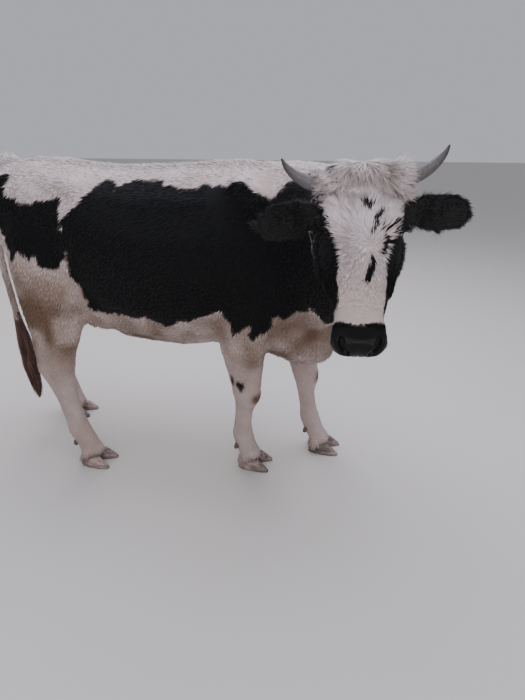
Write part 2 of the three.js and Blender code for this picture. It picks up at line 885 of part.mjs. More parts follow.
// head
let head = onHead(headWhole());
for (const [name, side] of Object.entries(BOTH)) {
  head = without(
    head,
    nostril(side),
    ear(side, GAP),
    horn(side, GAP),
    eyeball(side, GAP),
  );
  node(`eye_${name}`, eyeball(side), EYE);
  node(`horn_${name}`, horn(side), HORN);
  node(`ear_${name}`, ear(side), COAT_BLACK);
}
const [muzzle, skull] = split(head, fromHead([392, 0, -90]), headWay([1, 0, -0.1]));
node("muzzle", muzzle, MUZZLE_SKIN);
node("head", skull, COAT_WHITE);

// trunk, neck and legs, first as one body
const limbs = Object.values(LEGS).map((leg) => limbWhole(leg));
const neckWhole = skin(neckSection, 16, 11);
let body = joined(trunkWhole(), neckWhole, ...limbs);
body = body.subtract(onHead(headWhole(GAP)));
body = without(body, ear(-1, GAP), ear(1, GAP), udderWhole(GAP), tailWhole(GAP));

for (const [name, leg] of Object.entries(LEGS)) {
  const limb = largest(body.intersect(legZone(leg)));
  body = body.subtract(legZone(leg, GAP));
  const [upper, lower] = split(limb, [0, 0, leg.parting], [0, 0, 1]);
  node(`leg_${name}_upper`, upper, COAT_WHITE);
  node(`leg_${name}_lower`, without(lower, ...dewclaws(leg, GAP)), COAT_WHITE);
  for (const [i, part] of ["right", "left"].entries()) {
    node(`hoof_${name}_${part}`, claws(leg)[i], HOOF);
    node(`dewclaw_${name}_${part}`, dewclaws(leg)[i], HOOF);
  }
}
const [neck, trunk] = split(largest(body), [1150, 0, BACK_HEIGHT], [0.86, -0.38, 0.34]);
node("neck", neck, COAT_BLACK);
node("trunk", trunk, COAT_WHITE);

const [tail, tailSwitch] = split(tailWhole(), [0, 0, SWITCH_TOP], [0, 0, 1]);
node("tail", tail, COAT_WHITE);
node("tail_switch", tailSwitch, SWITCH_HAIR);
node("udder", udderWhole(), UDDER_SKIN);
node("neck_chain", chain(), STEEL);

// ---------- origin on the ground in the middle of the animal ----------
const box = new THREE.Box3().setFromObject(cow);
const middle = box.getCenter(new THREE.Vector3());
cow.position.set(-middle.x, -middle.y, -box.min.z);

export default cow;
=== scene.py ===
# %% [markdown]
# # A horned black-and-white cow, life size
# The cow stands with its head turned to its right. The solids of the frame hold its true outline
# out to the tips of the coat. This lesson grows one smooth skin out of them, lays a coat of
# solid hair tufts on it, and makes the finer pieces: eyes, horns, claws and the neck chain.
# Everything is in metres, +Z up, and nothing is ever moved off its place in the frame.

# %% Load the frame
import math
import bmesh
import bpy
import numpy as np
from mathutils import Euler, Matrix, Vector
from mathutils.bvhtree import BVHTree
from numpy.linalg import norm


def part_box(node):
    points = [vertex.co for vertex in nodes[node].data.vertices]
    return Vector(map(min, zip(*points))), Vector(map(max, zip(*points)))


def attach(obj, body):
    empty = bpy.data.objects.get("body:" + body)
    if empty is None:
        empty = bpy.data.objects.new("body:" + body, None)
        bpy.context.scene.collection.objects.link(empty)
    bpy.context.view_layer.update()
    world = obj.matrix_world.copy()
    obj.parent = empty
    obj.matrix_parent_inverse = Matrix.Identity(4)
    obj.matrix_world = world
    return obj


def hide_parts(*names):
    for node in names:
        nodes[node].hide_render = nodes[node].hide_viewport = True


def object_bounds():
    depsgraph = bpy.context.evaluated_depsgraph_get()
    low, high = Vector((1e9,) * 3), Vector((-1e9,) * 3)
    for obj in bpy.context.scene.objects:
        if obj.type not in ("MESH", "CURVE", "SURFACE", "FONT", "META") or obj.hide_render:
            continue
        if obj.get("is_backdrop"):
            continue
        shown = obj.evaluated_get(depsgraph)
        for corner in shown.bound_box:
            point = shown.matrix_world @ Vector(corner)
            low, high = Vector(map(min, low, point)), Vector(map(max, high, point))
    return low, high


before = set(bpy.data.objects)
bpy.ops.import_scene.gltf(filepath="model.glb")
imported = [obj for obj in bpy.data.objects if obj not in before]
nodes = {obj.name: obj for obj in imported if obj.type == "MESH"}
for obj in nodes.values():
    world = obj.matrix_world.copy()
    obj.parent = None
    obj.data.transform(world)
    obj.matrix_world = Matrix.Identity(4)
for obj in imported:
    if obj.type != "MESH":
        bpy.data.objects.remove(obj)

cad_box = [list(corner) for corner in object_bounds()]
MM = 0.001
print("frame:", len(nodes), "nodes, box", [[round(x, 3) for x in c] for c in cad_box])

# %% [markdown]
# ## Two frames to measure in
# A farmer measures along the back from the tail and up from the ground, and measures a head
# from its crown down the face. The body frame has its origin on the ground under the tail, X to
# the chest and Y to the cow's left. The head frame has X down the face, Y to the cow's left and
# Z out of the forehead. Both are found from the solids: the trunk's box gives the first, and the
# middle between the two eyes gives the second.

# %% The body frame and the head frame
HEAD_YAW, HEAD_NOD = math.radians(-81), math.radians(60)
EYE_ALONG, EYE_DEEP = 0.136, -0.040  # where both eyes sit in the head frame
EYE_SIDE, EYE_RADIUS = 0.102, 0.0195
BUTTOCK = -0.092  # the trunk's hindmost point in the body frame


def middle(name):
    low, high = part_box(name)
    return (low + high) / 2


trunk_low, trunk_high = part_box("trunk")
BODY = np.array([trunk_low.x - BUTTOCK, (trunk_low.y + trunk_high.y) / 2, 0.0])
TURN = np.array(Euler((0, HEAD_NOD, HEAD_YAW), "XYZ").to_matrix())
between_eyes = np.array((middle("eye_left") + middle("eye_right")) / 2)
CROWN = between_eyes - TURN @ np.array([EYE_ALONG, 0, EYE_DEEP])


def in_body(points):
    return points - BODY


def in_head(points):
    return (points - CROWN) @ TURN


def from_head(points):
    return np.asarray(points) @ TURN.T + CROWN


print("crown of the head:", np.round(CROWN, 3), " tail root over:", np.round(BODY, 3))

# %% [markdown]
# ## Floor, light and camera
# A museum lights a mounted animal softly, so that fur doesn't sparkle and black fur still shows
# its form. The floor is one pale sheet, the world gives an even grey light, and two big area
# lights model the sides. The camera stands at a person's eye height and looks down at the cow.

# %% Colour and node helpers
def linear(code):
    """An sRGB hex colour as the linear numbers that a shader wants."""
    parts = [int(code[i : i + 2], 16) / 255 for i in (1, 3, 5)]
    return [p / 12.92 if p <= 0.04045 else ((p + 0.055) / 1.055) ** 2.4 for p in parts] + [1.0]


def feed(node, **links):
    """Feeds a node's sockets with values, with outputs, or with the first outputs of nodes."""
    for key, value in links.items():
        socket = node.inputs[int(key[1:]) if key[1:].isdigit() else key.replace("_", " ")]
        value = value.outputs[0] if isinstance(value, bpy.types.Node) else value
        if isinstance(value, bpy.types.NodeSocket):
            node.id_data.links.new(value, socket)
        else:
            socket.default_value = value
    return node


def add(tree, kind, settings=None, **links):
    """Adds a node. settings are its own options; links feed its sockets."""
    made = tree.nodes.new("ShaderNode" + kind)
    for key, value in (settings or {}).items():
        setattr(made, key, value)
    return feed(made, **links)


def new_material(name):
    material = bpy.data.materials.new(name)
    material.use_nodes = True
    tree = material.node_tree
    shader = tree.nodes["Principled BSDF"]
    return material, tree, shader


def in_scene(name, data):
    made = bpy.data.objects.new(name, data)
    bpy.context.scene.collection.objects.link(made)
    return made


def ramp(tree, factor, stops):
    """A colour ramp through (place, hex) stops."""
    made = add(tree, "ValToRGB", Fac=factor)
    elements = made.color_ramp.elements
    for place, code in stops[1:-1]:
        elements.new(place).color = linear(code)
    elements[0].position, elements[0].color = stops[0][0], linear(stops[0][1])
    elements[-1].position, elements[-1].color = stops[-1][0], linear(stops[-1][1])
    return made.outputs["Color"]


print("a mid grey, #808080, is", round(linear("#808080")[0], 3), "to a shader")


# %% Floor
def make_floor(half=30.0):
    bm = bmesh.new()
    bmesh.ops.create_grid(bm, x_segments=2, y_segments=2, size=half)
    mesh = bpy.data.meshes.new("floor")
    bm.to_mesh(mesh)
    bm.free()
    floor = in_scene("floor", mesh)
    material, _, shader = new_material("pale_plaster_floor")
    feed(shader, Base_Color=linear("#c9c6c4"), Roughness=0.9, Specular_IOR_Level=0.2)
    mesh.materials.append(material)
    floor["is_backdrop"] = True
    return floor


make_floor()
print("floor laid")

# %% Lights
def area_light(name, place, target, size, power, colour):
    """A square lamp of size metres and power watts at place, turned to shine at target."""
    data = bpy.data.lights.new(name, "AREA")
    data.shape, data.size, data.energy = "SQUARE", size, power
    data.color = linear(colour)[:3]
    lamp = in_scene(name, data)
    lamp.location = place
    lamp.rotation_euler = (Vector(target) - Vector(place)).to_track_quat("-Z", "Y").to_euler()


area_light("sky_panel", (0.0, 0.6, 4.2), (0, 0, 0.7), 4.5, 190, "#eef0ff")
area_light("front_panel", (1.6, -4.2, 2.6), (0, 0, 0.8), 3.0, 84, "#fff6f0")
area_light("back_panel", (-2.2, 4.0, 2.6), (0, 0, 0.8), 3.0, 75, "#fff2ea")
world = bpy.data.worlds.new("studio")
bpy.context.scene.world = world
world.use_nodes = True
background = world.node_tree.nodes["Background"]
background.inputs["Color"].default_value = linear("#dcdde4")
background.inputs["Strength"].default_value = 0.66

# %% Camera
CAMERA_TURN, CAMERA_DIP = math.radians(13), math.radians(22.3)
CAMERA_PLACE = Vector(BODY + np.array([1.553, -2.024, 1.40]))  # eye height, beside the shoulder
LENS = 27.05  # millimetres, on a frame 36 mm along its long side
camera_data = bpy.data.cameras.new("viewer")
camera_data.lens, camera_data.sensor_width = LENS, 36.0
camera_data.clip_end = 200.0
camera = in_scene("viewer", camera_data)
camera.location = CAMERA_PLACE
camera.rotation_euler = (math.pi / 2 - CAMERA_DIP, 0, CAMERA_TURN)
bpy.context.scene.camera = camera
print("camera at", [round(x, 3) for x in camera.location])

# %% [markdown]
# ## Small tools for smooth shapes
# Flesh has no corners: every rise and hollow fades out. `fade` is the soft switch that all the
# shaping below is made with, and `wobble` is a smooth random field, the same on each run, that
# keeps edges of patches and lengths of hair from looking ruled.

# %% Soft switches and smooth noise
def fade(low, high, x):
    """0 below low, 1 above high, and a soft step between; low may be the larger."""
    t = np.clip((x - low) / (high - low), 0, 1)
    return t * t * (3 - 2 * t)


def blob(points, centre, reach):
    """1 at the centre, falling softly to 0 at reach (one size, or one for each axis)."""
    gone = norm((points - np.array(centre)) / np.array(reach), axis=1)
    return fade(1, 0, gone)


def wobble(points, size, seed=0):
    """Smooth noise from -1 to 1 whose bumps are about size across."""
    scaled = points / size + 31.7 * (seed + 1)
    cell = np.floor(scaled).astype(np.int64)
    part = scaled - cell
    part = part * part * (3 - 2 * part)
    total = np.zeros(len(points))
    for dx in (0, 1):
        for dy in (0, 1):
            for dz in (0, 1):
                mixed = (cell[:, 0] + dx) * 73856093 ^ (cell[:, 1] + dy) * 19349663
                mixed ^= (cell[:, 2] + dz) * 83492791
                mixed = (mixed ^ (mixed >> 13)) * 1274126177 & 0x7FFFFFFF
                value = (mixed ^ (mixed >> 16)) % 4096 / 2047.5 - 1
                share = np.abs(1 - dx - part[:, 0]) * np.abs(1 - dy - part[:, 1])
                total += value * share * np.abs(1 - dz - part[:, 2])
    return total


def unit(vectors):
    return vectors / np.maximum(norm(vectors, axis=-1, keepdims=True), 1e-9)


sample = wobble(np.linspace(0, 1, 300).reshape(100, 3), 0.1)
print("noise runs from", round(float(sample.min()), 2), "to", round(float(sample.max()), 2))


# %% [markdown]
# ## One skin for all the flesh
# The solids of the flesh were parted with thin cuts, as a butcher's chart parts a cow. A skin
# has no such cuts. Three ways could close them: sewing the pieces by hand, a boolean union, or
# wrapping them in voxels. The voxel remesh is the sturdiest: each solid is grown by a millimetre
# so that neighbours meet, and the wrap becomes a single even mesh that smoothing can relax.

# %% Wrap the flesh
FLESH = ["head", "muzzle", "neck", "trunk", "udder", "tail", "ear_right", "ear_left"]
FLESH += [f"leg_{end}_{side}_{part}" for end in ("front", "hind")
          for side in ("right", "left") for part in ("upper", "lower")]
VOXEL = 0.0105
EAR_GROWTH = 4 * MM  # thin rims would be torn by the voxels, so ears are grown before the wrap
SOCKET_FILL = [0.016, 0.084, -0.036]  # head frame, where a horn is rooted
SOCKET_RADIUS = 0.031
HEEL_BACK, HEEL_HEIGHT = 0.030, 0.043  # a heel's middle, from the back of its claws and the ground
HEEL_LONG, HEEL_PROUD, HEEL_DEEP = 0.040, 0.009, 0.027  # proud: how far it is wider than the claws
HEEL_LEAN = math.radians(-18)


def add_grown(bm, names, growth):
    """Adds copies of the named nodes, each point moved out along its normal by growth."""
    part = bmesh.new()
    for name in names:
        part.from_mesh(nodes[name].data)
    bmesh.ops.remove_doubles(part, verts=part.verts, dist=1e-5)
    part.normal_update()
    for vert in part.verts:
        vert.co += vert.normal * growth
    mesh = bpy.data.meshes.new("grown")
    part.to_mesh(mesh)
    part.free()
    bm.from_mesh(mesh)
    bpy.data.meshes.remove(mesh)


def add_heels(bm):
    """Hide over the bulbs of the heels: a flattened ball over the back of each pair of claws."""
    for foot in ("front_right", "front_left", "hind_right", "hind_left"):
        low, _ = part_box(f"hoof_{foot}_right")
        back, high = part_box(f"hoof_{foot}_left")
        centre = Vector((min(low.x, back.x) + HEEL_BACK, (low.y + high.y) / 2, HEEL_HEIGHT))
        lean = Matrix.Rotation(HEEL_LEAN, 4, "Y")
        size = Matrix.Diagonal((HEEL_LONG, (high.y - low.y) / 2 + HEEL_PROUD, HEEL_DEEP, 1.0))
        bmesh.ops.create_icosphere(bm, subdivisions=3, radius=1.0,
                                   matrix=Matrix.Translation(centre) @ lean @ size)


def voxel_wrap(bm, size):
    """The mesh of a bmesh wrapped in voxels of a size; the bmesh is freed."""
    mesh = bpy.data.meshes.new("wrap")
    bm.to_mesh(mesh)
    bm.free()
    wrap = in_scene("wrap", mesh)
    remesh = wrap.modifiers.new("voxels", "REMESH")
    remesh.mode, remesh.voxel_size = "VOXEL", size
    done = wrap.evaluated_get(bpy.context.evaluated_depsgraph_get()).to_mesh().copy()
    bpy.data.objects.remove(wrap)
    return done


def wrapped_flesh():
    bm = bmesh.new()
    add_heels(bm)
    ears = ["ear_right", "ear_left"]
    add_grown(bm, [n for n in FLESH if n not in ears] + ["eye_right", "eye_left"], MM)
    add_grown(bm, ears, EAR_GROWTH)
    for side in (-1, 1):
        at = from_head(np.array(SOCKET_FILL) * [1, side, 1])
        bmesh.ops.create_icosphere(bm, subdivisions=3, radius=SOCKET_RADIUS,
                                   matrix=Matrix.Translation(Vector(at)))
    return voxel_wrap(bm, VOXEL)


def keep_outer_shell(bm):
    """Sockets and hollows closed by the wrap leave small shells inside: only the skin stays."""
    bm.verts.ensure_lookup_table()
    start = max(bm.verts, key=lambda v: v.co.z)
    seen, frontier = {start}, [start]
    while frontier:
        fresh = []
        for vert in frontier:
            for edge in vert.link_edges:
                other = edge.other_vert(vert)
                if other not in seen:
                    seen.add(other)
                    fresh.append(other)
        frontier = fresh
    stray = [v for v in bm.verts if v not in seen]
    bmesh.ops.delete(bm, geom=stray, context="VERTS")
    return len(stray)


skin_bm = bmesh.new()
skin_bm.from_mesh(wrapped_flesh())
stray_count = keep_outer_shell(skin_bm)
print("wrap:", len(skin_bm.faces), "faces,", stray_count, "stray points inside removed")

# %% [markdown]
# ## Relax the facets, keep the form
# Plain smoothing pulls every point to the middle of its neighbours, which melts thin legs and
# ears. Pushing out again after each pull (Taubin's way) keeps their thickness and still
# flattens facets. The broad trunk and neck can take plain smoothing on top, which also rounds
# off the creases where limbs were joined on.

# %% Which part each point of the skin belongs to
def mesh_arrays(bm):
    """Points, edges and the average-of-neighbours function of a bmesh."""
    bm.verts.index_update()
    points = np.array([v.co for v in bm.verts])
    edges = np.array([[e.verts[0].index, e.verts[1].index] for e in bm.edges])
    count = np.bincount(edges.ravel(), minlength=len(points)).astype(float)[:, None]

    def neighbours(values):
        total = np.zeros_like(values)
        for k in range(values.shape[1]):
            total[:, k] = np.bincount(edges[:, 0], values[edges[:, 1], k], len(values))
            total[:, k] += np.bincount(edges[:, 1], values[edges[:, 0], k], len(values))
        return total / count

    return points, neighbours


def write_points(bm, points):
    for vert, place in zip(bm.verts, points):
        vert.co = place


def flesh_tree():
    """A search tree of all the flesh, and the node of flesh that each of its faces belongs to."""
    places, faces, owner = [], [], []
    for number, name in enumerate(FLESH):
        mesh = nodes[name].data
        start = len(places)
        places += [v.co.copy() for v in mesh.vertices]
        for polygon in mesh.polygons:
            faces.append([start + i for i in polygon.vertices])
            owner.append(number)
    return BVHTree.FromPolygons(places, faces), owner


def part_at(points):
    """The number in FLESH of the nearest node for each point."""
    return np.array([owner_of[solids.find_nearest(Vector(p))[2]] for p in points])


def sunk_by(points):
    """How far each point lies inside the surface of the solids, 0 outside them."""
    depths = np.zeros(len(points))
    for i, point in enumerate(points):
        place, normal, _, gone = solids.find_nearest(Vector(point))
        inward = (Vector(point) - place).dot(normal) < 0
        depths[i] = gone if inward else 0.0
    return depths


def among(part_numbers, *names):
    return np.isin(part_numbers, [FLESH.index(n) for n in names])


def spread(values, neighbours, rounds):
    values = values[:, None]
    for _ in range(rounds):
        values = (values + neighbours(values)) / 2
    return values[:, 0]


solids, owner_of = flesh_tree()
points, neighbours = mesh_arrays(skin_bm)
parts = part_at(points)
print("points on each part:", dict(zip(FLESH, np.bincount(parts).tolist())))


# %% Relax
def relaxed(points, neighbours, pull, push, rounds, share=None):
    """Points pulled to the middle of their neighbours and pushed out again; push may be 0."""
    share = 1.0 if share is None else share[:, None]
    for _ in range(rounds):
        points = points + pull * share * (neighbours(points) - points)
        if push:
            points = points - push * share * (neighbours(points) - points)
    return points


broad = spread(among(parts, "trunk", "neck").astype(float), neighbours, 6)
points = relaxed(points, neighbours, 0.50, 0.53, 22)
points = relaxed(points, neighbours, 0.6, 0, 45, broad)
write_points(skin_bm, points)
skin_bm.normal_update()
normals = np.array([v.normal for v in skin_bm.verts])
MOST_SUNK = 0.015  # what plain smoothing took off the trunk is given back, up to this depth
sunk = np.minimum(spread(sunk_by(points) * broad, neighbours, 14), MOST_SUNK)
points = points + normals * sunk[:, None]
write_points(skin_bm, points)
print("relaxed", len(points), "points; smoothing had sunk them by up to", round(float(sunk.max()), 4), "m")

# %% [markdown]
# ## Finer mesh where the face needs it
# An eyelid is a few millimetres thick, so the mesh has to be finer there than on the flank.
# Splitting faces only in the head, and again round the muzzle and eyes, keeps the whole skin
# light.

# %% Split the faces of the head
MUZZLE_FROM = 0.385  # down the face in the head frame


def split_where(bm, wanted):
    """Halves all edges whose two ends are both wanted; wanted takes points and gives flags."""
    places = np.array([v.co for v in bm.verts])
    flags = wanted(places)
    for vert, flag in zip(bm.verts, flags):
        vert.tag = bool(flag)
    edges = [e for e in bm.edges if e.verts[0].tag and e.verts[1].tag]
    bmesh.ops.subdivide_edges(bm, edges=edges, cuts=1, smooth=0.0, use_grid_fill=True)
    bm.verts.index_update()
    bm.verts.ensure_lookup_table()


def near_head(places):
    head = in_head(places)
    long_enough = (head[:, 0] > -0.075) & (head[:, 0] < 0.52)
    in_reach = (np.abs(head[:, 1]) < 0.34) & (head[:, 2] > -0.17 - 0.25 * np.clip(head[:, 0], 0, 0.3))
    return long_enough & in_reach & (head[:, 2] > -0.245)


def from_eye(head):
    """How far points of the head frame are from the middle of the nearer eye."""
    mirrored = np.stack([head[:, 0], np.abs(head[:, 1]), head[:, 2]], axis=1)
    return norm(mirrored - [EYE_ALONG, EYE_SIDE, EYE_DEEP], axis=1)


def near_details(places):
    head = in_head(places)
    return near_head(places) & ((from_eye(head) < 0.046) | (head[:, 0] > MUZZLE_FROM))


def near_eyes(places):
    return from_eye(in_head(places)) < 0.036


split_where(skin_bm, near_head)
split_where(skin_bm, near_details)
points, neighbours = mesh_arrays(skin_bm)
parts = part_at(points)
in_face = spread(near_head(points).astype(float), neighbours, 3)
points = relaxed(points, neighbours, 0.5, 0.52, 8, in_face)
down_face = in_head(points)[:, 0]
lip_step = in_face * fade(0.345, 0.375, down_face) * fade(0.435, 0.405, down_face)
points = relaxed(points, neighbours, 0.6, 0, 30, lip_step)
write_points(skin_bm, points)
print("skin mesh:", len(skin_bm.verts), "points,", len(skin_bm.faces), "faces")

# %% [markdown]
# ## Eyelids
# The lids of a cow wrap the eyeball and leave an almond open, its inner corner drawn down the
# face, with a fold above and below. They could be separate strips of mesh, but lids are skin, so
# the skin itself is moved: onto a ball a lid's thickness larger than the eye outside the almond,
# and behind the eyeball's face inside it.

# %% Eyelids
LID = 0.0026  # thickness of a lid
OPENING = {"half_length": 0.0195, "upper": 0.0105, "lower": 0.0085}
EYE_LOOKS = np.array([0.05, 0.86, 0.50])  # the left eye's gaze in the head frame


def eye_axes(side):
    """Gaze, line from the outer to the inner corner, and the way to the brow."""
    gaze = unit(EYE_LOOKS * [1, side, 1])
    inner = np.array([0.92, 0, 0.30])
    inner = unit(inner - gaze * (inner @ gaze))
    brow = np.cross(inner, gaze) * -side
    return gaze, inner, unit(brow)


def outside_opening(offset, side):
    """How far each point lies outside the almond between the lids, and its height over it."""
    gaze, inner, brow = eye_axes(side)
    ray = unit(offset)
    length, height = ray @ inner * EYE_RADIUS, ray @ brow * EYE_RADIUS
    arch = 1 - (length / OPENING["half_length"]) ** 2
    gap = np.maximum(height - OPENING["upper"] * arch, -OPENING["lower"] * arch - height)
    behind = fade(0.1, -0.25, ray @ gaze) * 0.03
    return np.maximum(gap, np.abs(length) - OPENING["half_length"]) + behind, height


def shape_lids(head):
    """Lays the skin round each eye over the eyeball, open along the almond, with two folds."""
    for side in (-1, 1):
        centre = np.array([EYE_ALONG, side * EYE_SIDE, EYE_DEEP])
        offset = head - centre
        near = norm(offset, axis=1) < 0.06
        offset = offset[near]
        reach = norm(offset, axis=1)
        gap, height = outside_opening(offset, side)
        lid = EYE_RADIUS + LID * fade(-0.0002, 0.0022, gap) + 0.0002
        fold = np.where(height > 0, 0.0062, 0.0052)
        lid = lid - 0.0013 * fade(0.0024, 0, np.abs(gap - fold))
        lid = np.where(gap < 0, EYE_RADIUS - 0.0055 * fade(0.0002, -0.0022, gap), lid)
        hold = fade(0.017, 0.006, gap)
        outer = np.maximum(reach, EYE_RADIUS + LID * 0.8)
        outer = np.where(gap < 0.03, outer, reach)
        head[near] = centre + unit(offset) * (lid * hold + outer * (1 - hold))[:, None]
    return head


print("an eye opens", 2000 * OPENING["half_length"], "mm wide")

# %% [markdown]
# ## Nostrils, mouth and the bones of the face
# A cow's face is bone under thin skin: a crest runs from below the eye to the lip, the nostrils
# are commas with a raised wing, and the mouth is one long line low on the muzzle. Each of these
# is a small rule that moves points in the head frame. Sculpting by rule, rather than by hand,
# gives the same face on each run, and on both sides.

# %% Nostrils, mouth and the bones of the face
NOSTRIL = np.array([[0.444, 0.052, -0.060], [0.460, 0.048, -0.077], [0.473, 0.036, -0.092]])
MOUTH_FRONT, MOUTH_CORNER = -0.127, -0.136  # height of the mouth line in the head frame
MOUTH_FROM, MOUTH_TO = 0.352, 0.482  # down the face
CREST_BONE = [[0.165, 0.092, -0.075], [0.23, 0.088, -0.088], [0.305, 0.078, -0.098]]
# how high each form stands, its place and its reach in the head frame, for both sides
FACE_FORMS = [(-0.0030, [0.290, 0.075, -0.056], [0.085, 0.03, 0.024]),  # flat side of the nose
              (0.0110, [0.292, 0.092, -0.125], [0.055, 0.045, 0.060]),  # cheek muscle
              (0.0040, [0.345, 0.076, -0.110], [0.045, 0.035, 0.050]),  # where it meets the lip
              (-0.0050, [0.078, 0.094, -0.055], [0.032, 0.03, 0.03]),  # hollow behind the eye
              (0.0040, [0.122, 0.086, -0.008], [0.045, 0.03, 0.022]),  # brow
              (0.0022, [0.405, 0.072, -0.080], [0.035, 0.035, 0.035])]  # full upper lip


def follow(points, line):
    """For each point: how far it is from a bent line, how far along the line, and the line's way."""
    line = np.asarray(line, dtype=float)
    best, along = np.full(len(points), 99.0), np.zeros(len(points))
    ways, places = np.zeros((len(points), 3)), np.zeros((len(points), 3))
    start_arc = 0.0
    for start, end in zip(line[:-1], line[1:]):
        way = end - start
        size = norm(way)
        t = np.clip((points - start) @ way / size ** 2, 0, 1)
        place = start + t[:, None] * way
        gone = norm(points - place, axis=1)
        nearer = gone < best
        best = np.where(nearer, gone, best)
        along = np.where(nearer, start_arc + t * size, along)
        ways[nearer], places[nearer] = way / size, place[nearer]
        start_arc += size
    return best, along, ways, places


def shape_face(head, normals):
    """Sinks the nostrils, then raises and lowers the skin: mouth, chin groove, bones, muscles."""
    mirrored = head.copy()
    side = np.sign(mirrored[:, 1])
    mirrored[:, 1] = np.abs(mirrored[:, 1])
    move = np.zeros(len(head))
    away, along, _, _ = follow(mirrored, NOSTRIL)
    width = 0.0055 + 0.11 * along
    hollow = fade(width + 0.0035, width - 0.002, away)
    wing = fade(0.010, 0.0, np.abs(away - width - 0.008)) * (mirrored[:, 0] > 0.40)
    head = head - np.array([0.9, 0, 0.05]) * (0.017 * hollow)[:, None]
    head[:, 1] -= side * 0.004 * hollow
    move += 0.0022 * wing * (1 - hollow)
    along = (mirrored[:, 0] - MOUTH_FROM) / (MOUTH_TO - MOUTH_FROM)
    level = MOUTH_CORNER + (MOUTH_FRONT - MOUTH_CORNER) * np.clip(along, 0, 1)
    over = mirrored[:, 2] - level
    on_mouth = fade(-0.04, 0.06, along)
    move -= 0.0042 * on_mouth * fade(0.0042, 0.0, np.abs(over))
    move += 0.0016 * on_mouth * fade(0.010, 0.0, np.abs(over - 0.008))
    move += 0.0020 * on_mouth * fade(0.014, 0.0, np.abs(over + 0.012))
    groove = fade(0.0035, 0, mirrored[:, 1]) * fade(0.466, 0.474, mirrored[:, 0])
    move -= 0.0018 * groove * fade(-0.13, -0.12, mirrored[:, 2])
    away = follow(mirrored, CREST_BONE)[0]
    move += 0.0035 * fade(0.018, 0.002, away)
    for height, place, reach in FACE_FORMS:
        move += height * blob(mirrored, place, reach)
    rim = fade(0.006, 0.0, np.abs(mirrored[:, 0] - 0.452 - 0.10 * mirrored[:, 1]))
    move += 0.0016 * rim * fade(0.050, 0.036, mirrored[:, 1]) * fade(-0.115, -0.10, mirrored[:, 2])
    return head + normals * move[:, None]


print("forms of the face:", len(FACE_FORMS), "on each side")

# %% [markdown]
# ## Draw the skin in by the depth of the coat
# The solids end at the tips of the hair, so the skin lies inside them: a few millimetres on the
# face and shanks, most under the shaggy crown. Where the muzzle is bare it stays where it is.

# %% Depth of the coat
COAT_DEPTH = {"head": 0.0045, "muzzle": 0.002, "neck": 0.0070, "trunk": 0.0065, "udder": 0.002,
              "tail": 0.0045, "ear_right": 0.0066, "ear_left": 0.0066}
UPPER_LEG, LOWER_LEG = 0.0060, 0.0034
BARE_FROM, BARE_TO = 0.436, 0.448  # down the face, where hair ends on the muzzle


def bare_share(head):
    """1 where the muzzle has no hair: the pad between and round the nostrils and the lips."""
    edge = 0.004 * np.cos(head[:, 1] * 60) + 0.10 * np.clip(-0.085 - head[:, 2], 0, 0.1)
    bare = fade(BARE_FROM, BARE_TO, head[:, 0] - edge)
    return bare * fade(-0.165, -0.146, head[:, 2] + 0.2 * (head[:, 0] - 0.46))


def coat_depth(head, part_numbers, neighbours):
    per_part = np.array([COAT_DEPTH.get(n, LOWER_LEG if n.endswith("lower") else UPPER_LEG)
                         for n in FLESH])
    depth = spread(per_part[part_numbers], neighbours, 5)
    crown = fade(0.19, 0.06, head[:, 0]) * fade(-0.10, -0.06, head[:, 0])
    crown = crown * fade(-0.06, -0.02, head[:, 2]) * fade(0.105, 0.08, np.abs(head[:, 1]))
    depth = depth + 0.007 * crown
    return depth * (1 - bare_share(head)) + 0.0004


print("coat's depth in millimetres:", {name: round(depth / MM, 1) for name, depth in COAT_DEPTH.items()})

# %% [markdown]
# ## Tendons, hocks and folds
# Below the knee and hock a leg is bone and tendon, with grooves between them that thin hair
# doesn't hide, and loose skin hangs in a web from the belly to the stifle. All of it is too
# shallow for the solids, so the points of each leg are moved in or out by their height and by
# their angle round the leg's own middle line.

# %% Tendons, hocks, clefts and folds
def around_leg(points, parts, name):
    """For the points of one leg: which they are, and their angle round it, 0 in front."""
    mine = np.where(among(parts, f"{name}_upper", f"{name}_lower"))[0]
    body = in_body(points[mine])
    levels = np.linspace(0.0, 0.9, 31)
    middle_x, middle_y = [], []
    for level in levels:
        near = np.abs(body[:, 2] - level) < 0.03
        near = near if near.any() else np.abs(body[:, 2] - level) < 0.12
        middle_x.append((body[near, 0].min() + body[near, 0].max()) / 2)
        middle_y.append((body[near, 1].min() + body[near, 1].max()) / 2)
    fore = body[:, 0] - np.interp(body[:, 2], levels, middle_x)
    side = body[:, 1] - np.interp(body[:, 2], levels, middle_y)
    return mine, np.degrees(np.arctan2(side, fore)), body[:, 2]


def shape_legs(points, parts):
    """How far each point moves out: grooves beside the tendons, hollow hocks, clefts of the feet."""
    move = np.zeros(len(points))
    for end in ("front", "hind"):
        for side in ("right", "left"):
            mine, angle, height = around_leg(points, parts, f"leg_{end}_{side}")
            beside = fade(24, 4, np.abs(np.abs(angle) - 118))
            cannon = fade(0.13, 0.18, height) * fade(0.36, 0.30, height)
            move[mine] -= 0.0035 * beside * cannon
            move[mine] += 0.0015 * fade(40, 10, np.abs(angle)) * cannon
            cleft = fade(16, 3, np.abs(angle)) * fade(0.085, 0.06, height)
            move[mine] -= 0.006 * cleft
            if end == "hind":
                hock = fade(26, 6, np.abs(np.abs(angle) - 136)) * fade(0.47, 0.53, height)
                move[mine] -= 0.011 * hock * fade(0.68, 0.60, height)
                move[mine] += 0.004 * fade(30, 8, np.abs(np.abs(angle) - 80)) * blob(
                    np.stack([height, height * 0, height * 0], axis=1), [0.44, 0, 0], 0.07)
            else:
                knee = fade(0.33, 0.36, height) * fade(0.42, 0.39, height)
                move[mine] += 0.004 * knee * fade(60, 25, np.abs(angle))
    return move


